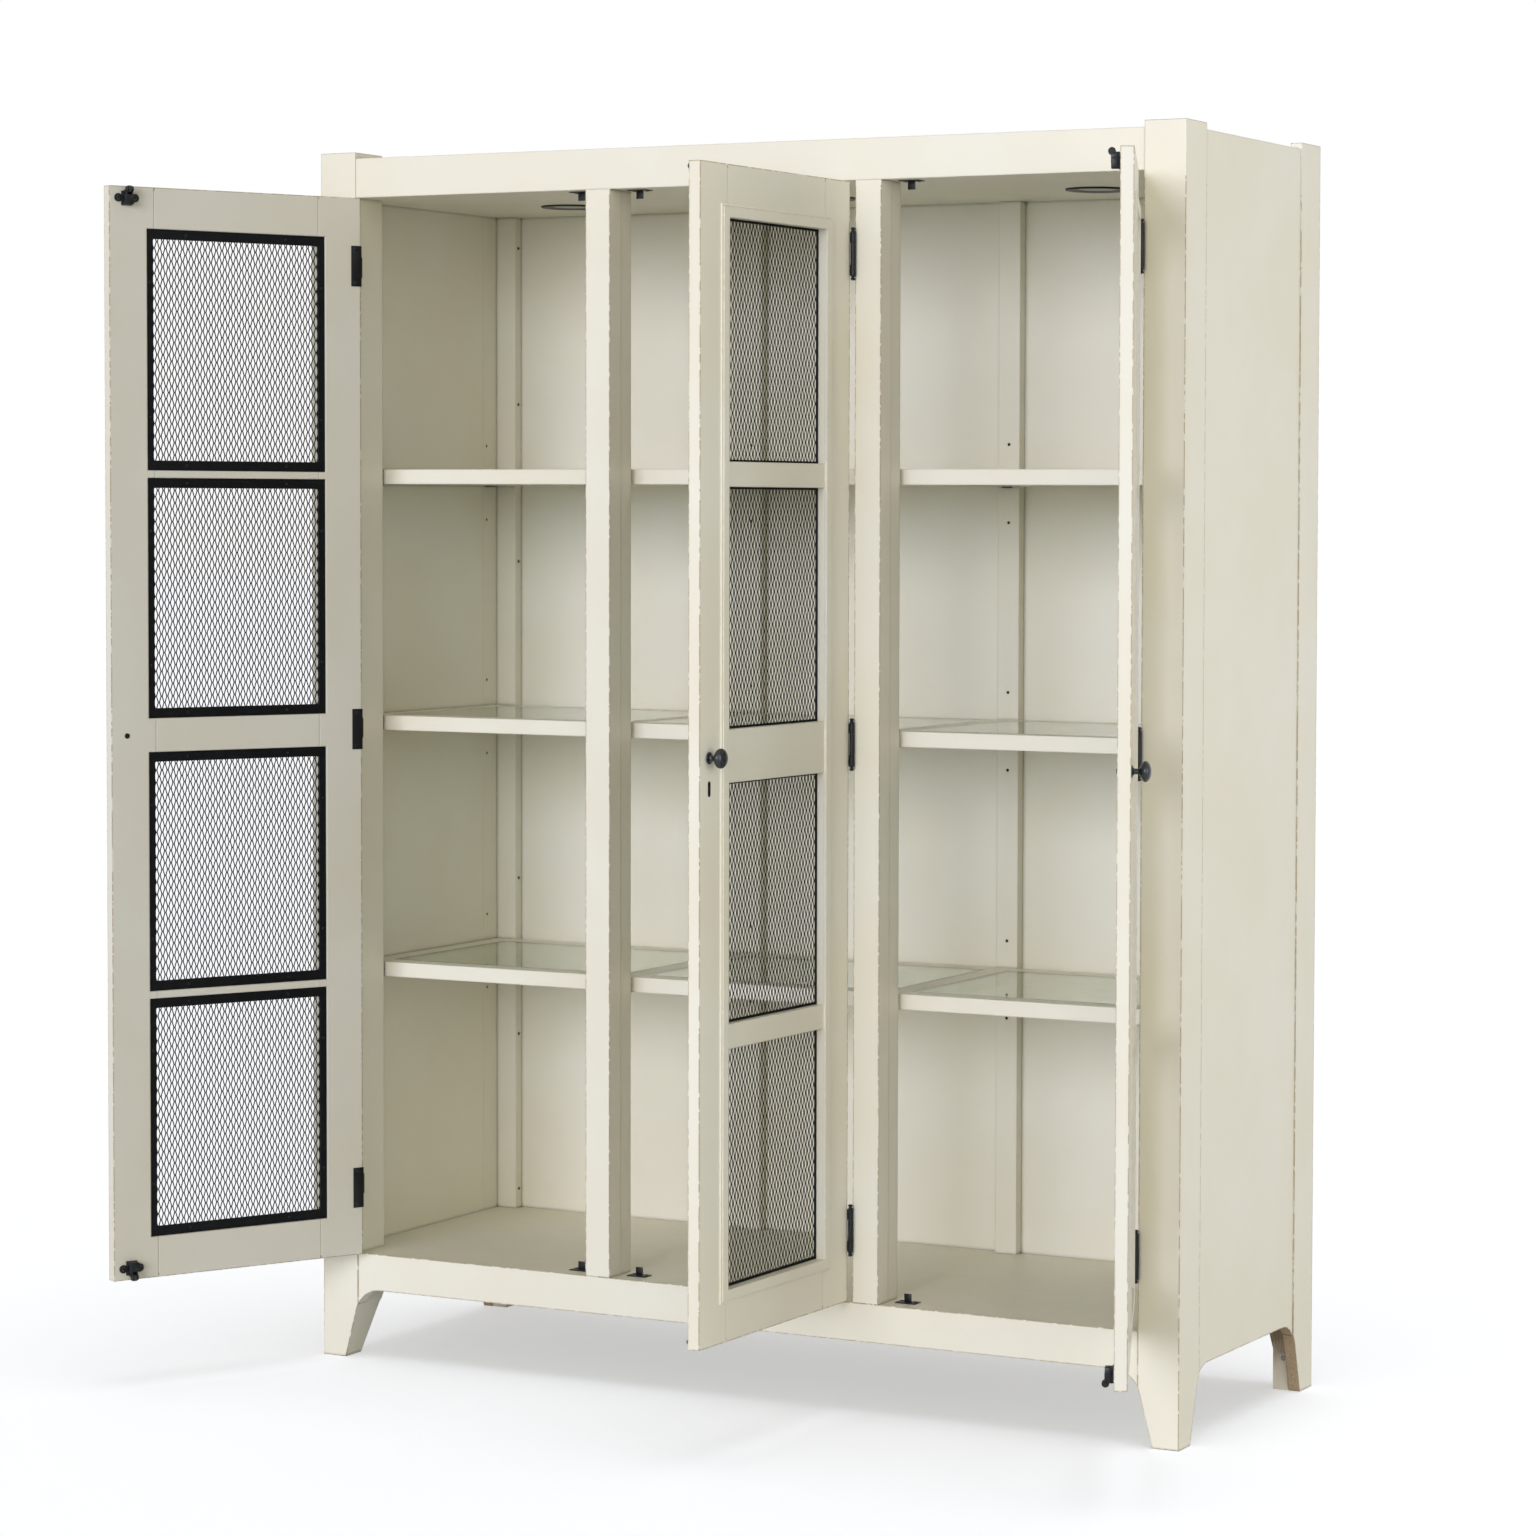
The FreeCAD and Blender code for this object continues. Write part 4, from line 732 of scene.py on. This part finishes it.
for door in doors:
    frames = bmesh.new()
    for order in range(4):
        bottom, top = pane_low(order), pane_low(order) + PANE_HEIGHT
        low = (PANEL_LEFT - FRAME_MARGIN, bottom - FRAME_MARGIN)
        high = (PANEL_RIGHT + FRAME_MARGIN, top + FRAME_MARGIN)
        add_mitred(frames, low, high, FRAME_SECTION, door.at, outer=2.0, inner=2.5,
                   spread=(NARROW_SIDES, WIDE_ENDS))
        for share in (0.22, 0.78):
            u = low[0] + share * (high[0] - low[0])
            z = low[1] + share * (high[1] - low[1])
            for across, up in ((u, low[1] + 8), (u, high[1] - 8),
                               (low[0] + 6, z), (high[0] - 6, z)):
                door.screw(across, FRAME_FACE, up, 2.3)
    door.piece("black_frames", frames, powder_coat, "mesh_frames")

# %% [markdown]
# ## Beaded moulding
# A moulding is planted round the openings on the face of each door: flat, with a small bead
# along its outer edge and eased arrises.

# %% Moulding
BEAD_SECTION = [(0, 0, 0), (0, -1.5, 0), (0.45, -2.45, 0), (1.4, -2.95, 0), (2.6, -2.95, 0),
                (3.5, -2.5, 0), (4.0, -2.1, 0), (4.1, -4.1, 0), (4.5, -4.5, 0), (19.4, -4.5, 0),
                (20, -3.9, 0), (20, 0, 0)]
BEAD_WIDTH = BEAD_SECTION[-1][0]

for door in doors:
    moulding = bmesh.new()
    low = (PANEL_LEFT - BEAD_WIDTH, pane_low(0) - BEAD_WIDTH)
    high = (PANEL_RIGHT + BEAD_WIDTH, pane_low(3) + PANE_HEIGHT + BEAD_WIDTH)
    add_mitred(moulding, low, high, BEAD_SECTION, door.at)
    door.piece("beaded_moulding", moulding, fine_paint, "moulding")

# %% [markdown]
# ## Knobs
# Each knob is turned: a round rose against the door, a waisted neck and an oval head with a
# fine ring cut round its face. The middle door has the keyhole, filled by a black plug let
# into its face: painted shade, where the hole would be dark.

# %% Knobs
HEAD_STEPS = 13


def knob_profile():
    """Rose, neck and oval head, as pairs of radius and height."""
    profile = [(0, 0), (9.2, 0), (9.2, 1.1), (8.8, 1.8), (7.6, 2.3), (6.9, 3.0), (5.4, 3.6),
               (4.5, 5.0), (4.1, 7.0), (4.1, 9.0), (4.6, 10.6), (5.6, 11.8)]
    for step in range(HEAD_STEPS + 1):
        turn = math.radians(-62 + step * 142 / HEAD_STEPS)
        profile.append((15.25 * math.cos(turn), 20.5 + 8.5 * math.sin(turn)))
    return profile + [(2.0, 28.75), (0, 28.9)]


BOLT = [(0, 0), (2.4, 0), (2.4, DOOR_DEPTH + 0.2), (0, DOOR_DEPTH + 0.2)]
for door in doors:
    knob = bmesh.new()
    door.turned(knob, knob_profile(), (KNOB_U, 0, MID_DOOR), (0, -1, 0), 48)
    door.turned(knob, BOLT, (KNOB_U, 0, MID_DOOR), (0, 1, 0), 16)
    door.piece("turned_knob", knob, black_iron, "knob")
    door.screw(KNOB_U, DOOR_DEPTH, MID_DOOR, 4.5)

# %% Keyhole
# Painted shade: a black plug fills the keyhole so that it reads dark, as the hole's shade would.
KEY_HIGH, KEY_LOW, SHADE_PLUG_RADIUS, SHADE_PLUG_FACE = MID_DOOR - 38.5, MID_DOOR - 55, 3.7, -0.3
SHADE_PLUG = [(0, 0), (3.5, 0), (SHADE_PLUG_RADIUS, 0.2), (SHADE_PLUG_RADIUS, 0.9), (0, 0.9)]
keyed_door = doors[1]
shade_plug = bmesh.new()
for z in (KEY_LOW, KEY_HIGH):
    keyed_door.turned(shade_plug, SHADE_PLUG, (KNOB_U, SHADE_PLUG_FACE, z), (0, 1, 0), 24)
keyed_door.block(shade_plug, (KNOB_U - SHADE_PLUG_RADIUS, SHADE_PLUG_FACE, KEY_LOW),
                 (KNOB_U + SHADE_PLUG_RADIUS, 0.6, KEY_HIGH), 0.15)
keyed_door.piece("keyhole_bush", shade_plug, powder_coat)

# %% [markdown]
# ## Hinges
# The butt hinges have their barrel in front of the door. The door's leaf wraps round its
# hinge edge and is screwed to its inner face; the frame's leaf lies on the post or mullion.
# The pin is capped by a small turned finial at each end. Three levels repeat on each door.

# %% Hinges
HINGE_LEVELS = (DOOR_LOW + 114, MID_DOOR, DOOR_HIGH - 114)
HALF_HINGE, HALF_MIDDLE, GAP = 34.0, 17.0, 0.15
LEAF_BACK, HINGE_SCREW = DOOR_DEPTH + 1.4, 28.0


def knuckle(low, high, radius=4.0):
    """A drum with eased rims, from low to high on its axis."""
    return [(0, low), (radius - 0.5, low), (radius, low + 0.5), (radius, high - 0.5),
            (radius - 0.5, high), (0, high)]


FINIAL = [(0, 0), (3.6, 0), (4.0, 0.5), (4.0, 1.6), (3.0, 2.2), (2.4, 2.9), (2.9, 3.7), (3.7, 4.7),
          (3.9, 5.6), (3.5, 6.7), (2.4, 7.5), (1.0, 7.95), (0, 8.0)]

for door in doors:
    leaves, pins = bmesh.new(), bmesh.new()
    for level in HINGE_LEVELS:
        low, high = level - HALF_HINGE, level + HALF_HINGE
        lower, upper = level - HALF_MIDDLE, level + HALF_MIDDLE
        door.block(leaves, (0.1, 0, low), (HINGE_EDGE, LEAF_BACK, high), 0.3)
        door.block(leaves, (0.1, DOOR_DEPTH, low), (19.1, LEAF_BACK, high), 0.45)
        for start, end in ((low, lower - GAP), (upper + GAP, high)):
            door.block(leaves, (0.1, -PIN_OFFSET, start), (HINGE_EDGE, 1, end), 0.2)
            door.turned(leaves, knuckle(start, end), (0, -PIN_OFFSET, 0), (0, 0, 1))
        door.block(pins, (-HINGE_EDGE, -PIN_OFFSET, lower), (-0.1, 18, upper), 0.3)
        door.turned(pins, knuckle(lower, upper), (0, -PIN_OFFSET, 0), (0, 0, 1))
        for way in (-1, 1):
            end = (0, -PIN_OFFSET, level + way * (HALF_HINGE + GAP))
            door.turned(pins, FINIAL, end, (0, 0, way), 24)
            door.screw(11, LEAF_BACK, level + way * HINGE_SCREW, 3.4)
    door.piece("leaves", leaves, black_lacquer, "hinge_leaves")
    finish_piece(f"{door.side}_frame_leaves", pins, black_lacquer, "carcass",
                 f"{door.side}_frame_hinges", place=Matrix.Translation(door.pin))

# %% [markdown]
# ## Roller catches
# A catch sits at the top and bottom of each door: a stout body between two open ears, each
# with a screw, and two cheeks that hold a nylon roller on a pin. With the door shut the roller
# stands just in front of a lug on the carcass. It is a piece of its own, because it turns.

# %% Catches and rollers
def end_of(door, way):
    """Height at a distance from the top (-1) or bottom (+1) end of a door."""
    edge = DOOR_HIGH if way < 0 else DOOR_LOW
    return lambda distance: edge + way * distance


EAR = [(3.1, 0), (6.4, 0), (6.8, 0.4), (6.8, 1.6), (6.4, 2), (3.4, 2), (3.1, 1.7)]
RIM = [(1.6, -3.2), (4.9, -3.2), (5.6, -2.7), (5.7, -2.2), (5.7, 2.2), (5.6, 2.7), (4.9, 3.2),
       (1.6, 3.2)]
WHEEL_DEPTH, WHEEL_IN = 32.5, 5.4

for door in doors:
    brackets = bmesh.new()
    for title, way in (("top", -1), ("bottom", 1)):
        z = end_of(door, way)
        door.block(brackets, (CATCH_U - 9.5, DOOR_DEPTH, z(8)), (CATCH_U + 9.5, 22, z(31.5)), 0.7)
        door.block(brackets, (CATCH_U - 8, 21, z(14)), (CATCH_U + 8, 33.6, z(30.5)), 1.6)
        for side in (-1, 1):
            inner, outer = CATCH_U + side * 3.6, CATCH_U + side * 5.6
            door.block(brackets, (inner, 21, z(6.5)), (outer, 34, z(22)), 0.5)
            door.turned(brackets, knuckle(3.6, 5.6, 5.2), (CATCH_U, WHEEL_DEPTH, z(5.8)),
                        (side, 0, 0), 24)
            ear_u = CATCH_U + side * 14.5
            add_turned(brackets, EAR, door.at(ear_u, DOOR_DEPTH, z(19)), (0, 1, 0), closed=True)
            door.block(brackets, (CATCH_U + side * 7, DOOR_DEPTH, z(14)),
                       (CATCH_U + side * 10.5, 21.8, z(24)), 0.3)
            door.screw(ear_u, 21.2, z(19), 2.4)
        hub = (CATCH_U, WHEEL_DEPTH, z(WHEEL_IN))
        door.turned(brackets, knuckle(-5.5, 5.5, 1.5), hub, (1, 0, 0), 16)
        roller = bmesh.new()
        add_turned(roller, RIM, door.at(*hub), (door.hand, 0, 0), closed=True)
        wheel = f"{door.body}_{title}"
        finish_piece(f"{wheel}_nylon_wheel", roller, nylon, f"{wheel}_roller_body",
                     f"{wheel}_roller", place=door.place)
    door.piece("roller_brackets", brackets, black_lacquer, "catches")

# %% [markdown]
# ## Strike plates and ceiling lamps
# Each roller has a strike: a plate on the underside of the ceiling or on the floor, with a
# lug turned up from it. The lamps are a black ring round a frosted lens, one in each bay.

# %% Strikes
FRONT, CEILING, FLOOR = -540.0, 1969.0, 180.0
PLATE_NEAR, PLATE_FAR, LUG_NEAR, LUG_FAR = FRONT + 29, FRONT + 51, FRONT + 39.4, FRONT + 41.4
strikes, carcass_screws = bmesh.new(), []
for door in doors:
    x = door.pin.x * 1000 + door.hand * CATCH_U
    for base, way in ((CEILING, -1), (FLOOR, 1)):
        face, tip = base + way * 1.5, base + way * 14.5
        add_block(strikes, (x - 18, PLATE_NEAR, base), (x + 18, PLATE_FAR, face), 0.5)
        add_block(strikes, (x - 6.5, LUG_NEAR, base + way), (x + 6.5, LUG_FAR, tip), 0.5)
        for side in (-1, 1):
            head = Vector((x + side * 12, FRONT + 44, face))
            carcass_screws.append((head, (0, 0, way), 3.2))
finish_piece("strike_plates", strikes, black_lacquer, "carcass", "catch_strikes")

# %% Ceiling lamps
RING_SECTION = [(33, 0), (52, 0), (52, 1.6), (51.2, 2.6), (49.5, 3), (44, 3), (35, 1.2), (33, 1)]
LENS_SECTION = [(0, 0), (33, 0), (33, 0.6), (31, 0.9), (16, 1.1), (0, 1.15)]
BAY_STEP, LAMP_INSET = 502.0, 316.0
rings, lenses = bmesh.new(), bmesh.new()
for bay in (-1, 0, 1):
    centre = (bay * BAY_STEP, FRONT + LAMP_INSET, CEILING)
    add_turned(rings, RING_SECTION, centre, (0, 0, -1), 64, closed=True)
    add_turned(lenses, LENS_SECTION, centre, (0, 0, -1), 48)
finish_piece("lamp_rings", rings, black_lacquer, "carcass", "ceiling_light_rings")
finish_piece("lamp_lenses", lenses, frosted_lens, "carcass", "ceiling_light_lenses")

# %% [markdown]
# ## Screws
# All the screws are one shape: a low domed head with a cross recess. The head is turned, the
# cross is cut out of it with a boolean, and Geometry Nodes copies it to every place noted
# above, scaled to its radius and turned to face outwards. Real screws stop at any angle, so
# each gets its own turn, from a fixed seed.

# %% The screw's pattern
HEAD_PROFILE = [(0, -0.1), (1, -0.1), (1, 0.08), (0.86, 0.24), (0.5, 0.36), (0, 0.4)]


def screw_pattern():
    """A head of radius 1 mm, to be scaled."""
    head, cross = bmesh.new(), bmesh.new()
    add_turned(head, HEAD_PROFILE, (0, 0, 0), (0, 0, 1), 20)
    for x, y in ((0.6, 0.12), (0.12, 0.6)):
        add_block(cross, (-x, -y, 0.14), (x, y, 0.6), 0)
    parts = []
    for name, part in (("screw_head", head), ("screw_cross", cross)):
        bmesh.ops.recalc_face_normals(part, faces=part.faces)
        parts.append(put(name, as_data(name, part)))
    cutter = parts[0].modifiers.new("recess", "BOOLEAN")
    cutter.object = parts[1]
    cutter.solver = "EXACT"
    cutter.use_self = True
    graph = bpy.context.evaluated_depsgraph_get()
    data = bpy.data.meshes.new_from_object(parts[0].evaluated_get(graph), depsgraph=graph)
    for part in parts:
        bpy.data.objects.remove(part)
    data.shade_smooth()
    data.set_sharp_from_angle(angle=math.radians(40))
    return data


screw_data = screw_pattern()
print("screw pattern:", len(screw_data.polygons), "faces")

# %% Geometry Nodes tree that drives the screws in
screw_tree, given = new_tree("driven_screws", [
    ("Places", "NodeSocketGeometry"), ("Pattern", "NodeSocketObject"),
    ("Finish", "NodeSocketMaterial")])
pattern = add(screw_tree, "GeometryNodeObjectInfo", {"As Instance": True},
              {"Object": given["Pattern"]})
turn, size = (add(screw_tree, "GeometryNodeInputNamedAttribute", {"data_type": kind, "Name": name})
              for name, kind in (("turn", "FLOAT_VECTOR"), ("radius", "FLOAT")))
facing = add(screw_tree, "FunctionNodeEulerToRotation", links={0: turn.outputs[0]})
driven = add(screw_tree, "GeometryNodeInstanceOnPoints", links={
    "Points": given["Places"], "Instance": pattern.outputs["Geometry"],
    "Rotation": facing.outputs[0], "Scale": size.outputs[0]})
close_tree(screw_tree, driven.outputs[0], given["Finish"])


def drive_screws(name, places, finish, body, *stands_for, place=Matrix()):
    """Copy the screw to every (point, facing, radius) and return the piece."""
    chance = random.Random(7)
    points = bpy.data.meshes.new(name)
    points.from_pydata([place @ (spot / 1000) for spot, _, _ in places], [], [])
    points.attributes.new("turn", "FLOAT_VECTOR", "POINT")
    points.attributes.new("radius", "FLOAT", "POINT")
    turns, radii = points.attributes["turn"], points.attributes["radius"]
    for index, (_, way, radius) in enumerate(places):
        outward = place.to_3x3() @ Vector(way)
        spin = Matrix.Rotation(chance.uniform(0, math.pi), 3, "Z")
        turned = outward.to_track_quat("Z", "Y").to_matrix() @ spin
        turns.data[index].vector = turned.to_euler()
        radii.data[index].value = radius
    holder = put("screw", screw_data)
    data = grow(name, screw_tree, {"Pattern": holder, "Finish": finish}, points)
    bpy.data.objects.remove(holder)
    return stand(name, data, finish, body, *stands_for, sharp=40)


BATTEN_SIDE, BATTEN_MIDDLE = -740, -26
BATTEN_SCREWS = (215, 497, 780, 1062, 1352, 1634, 1914)
BLOCK_MIDDLE, BLOCK_FACE, BLOCK_SCREW = 770, -50, 52.6
for door in doors:
    drive_screws(f"{door.body}_screws", door.screws, black_lacquer, door.body, place=door.place)
for z in BATTEN_SCREWS:
    carcass_screws.append((Vector((BATTEN_SIDE, BATTEN_MIDDLE, z)), (1, 0, 0), 3.0))
drive_screws("strike_screws", carcass_screws, black_lacquer, "carcass")
block_screws = [(Vector((side * BLOCK_MIDDLE, BLOCK_FACE, BLOCK_SCREW)), (0, -1, 0), 4.0)
                for side in (-1, 1)]
drive_screws("block_screws", block_screws, zinc, "carcass", "foot_block_screws")

# %% [markdown]
# ## Studio
# A plain pale floor and a pale surrounding, a broad soft lamp in front, a nearer one at the
# right and a fill between them. What the eye sees beyond the cupboard is white, without more
# light falling on the paint: the floor and the surroundings are brighter only to the camera
# and in reflections. The lamps are linked, as a studio would flag them: the floor has an
# overhead lamp of its own for its shadow, the side light passes the left door by, and the
# fill passes both outer doors by.

# %% Floor and surroundings
def seen_directly(tree):
    """1 for rays that the camera sees straight, in a mirror or through glass."""
    rays = add(tree, "ShaderNodeLightPath").outputs
    mirrored = maths(tree, rays["Is Camera Ray"], rays["Is Glossy Ray"], "MAXIMUM")
    return maths(tree, mirrored, rays["Is Transmission Ray"], "MAXIMUM")


FLOOR_REACH, FLOOR_DROP, FLOOR_GLOW, AMBIENT = 60.0, 0.0003, 0.44, 0.385
floor_mesh = bpy.data.meshes.new("studio_floor")
floor_mesh.from_pydata([(x * FLOOR_REACH, y * FLOOR_REACH, -FLOOR_DROP)
                        for x, y in ((-1, -1), (1, -1), (1, 1), (-1, 1))], [], [(0, 1, 2, 3)])
floor = put("studio_floor", floor_mesh)
floor_finish = bpy.data.materials.new("pale_floor")
tree = blank_tree(floor_finish)
cloth = add(tree, "ShaderNodeBsdfDiffuse", {"Color": paint_chip("#EDF0FA")})
glow = add(tree, "ShaderNodeEmission", {"Color": (1, 1, 1, 1)},
           {"Strength": maths(tree, seen_directly(tree), FLOOR_GLOW)})
both = add(tree, "ShaderNodeAddShader", links={0: cloth.outputs[0], 1: glow.outputs[0]})
add(tree, "ShaderNodeOutputMaterial", links={"Surface": both.outputs[0]})
floor_mesh.materials.append(floor_finish)

world = bpy.data.worlds.new("studio")
bpy.context.scene.world = world
tree = blank_tree(world)
direct = seen_directly(tree)
strength = maths(tree, maths(tree, direct, 1 - AMBIENT), AMBIENT, "ADD")
tint = blend_colour(tree, direct, "#FDFBF2", "#FFFFFF")
air = add(tree, "ShaderNodeBackground", links={"Strength": strength, "Color": tint})
add(tree, "ShaderNodeOutputWorld", links={"Surface": air.outputs[0]})
print("floor and surroundings set")


# %% Lamps
def add_lamp(name, kind, colour, **settings):
    """A lamp of a colour; the settings are energy, size and the like."""
    lamp = put(name, bpy.data.lights.new(name, kind))
    lamp.data.color = paint_chip(colour)[:3]
    for key, value in settings.items():
        setattr(lamp.data, key, value)
    return lamp


def come_from(lamp, way):
    """Turn a lamp so that its light comes from a direction."""
    lamp.rotation_euler = Vector(way).to_track_quat("Z", "Y").to_euler()


key = add_lamp("key_lamp", "SUN", "#EAECFF", energy=2.15, angle=math.radians(30))
come_from(key, (0.02, -0.99, 0.17))
side = add_lamp("side_lamp", "AREA", "#F4F5FF", energy=26, shape="RECTANGLE",
                size=1.1, size_y=1.8)
side.location = (3.4, -1.3, 1.45)
side.visible_camera = False
come_from(side, side.location - Vector((0.5, -0.4, 1.0)))
fill = add_lamp("fill_lamp", "SUN", "#FFFFFF", energy=0.75, angle=math.radians(60))
come_from(fill, (0.72, -0.68, 0.2))
overhead = add_lamp("overhead_lamp", "SUN", "#FFFFFF", energy=0.9, angle=math.radians(40))
come_from(overhead, (0.1, -0.1, 1.0))


def light_only(lamp, objects, state):
    """Let a lamp light only some objects (INCLUDE), or everything but them (EXCLUDE)."""
    group = bpy.data.collections.new(f"{lamp.name}_{state.lower()}")
    for item in objects:
        group.objects.link(item)
    for member in group.collection_objects:
        member.light_linking.link_state = state
    lamp.light_linking.receiver_collection = group


left_door, right_door = ([item for item in bpy.data.objects if item.name.startswith(door)]
                         for door in ("left_door", "right_door"))
light_only(key, [floor], "EXCLUDE")
light_only(side, [floor, *left_door], "EXCLUDE")
light_only(fill, [floor, *left_door, *right_door], "EXCLUDE")
light_only(overhead, [floor], "INCLUDE")
print("four lamps lit")
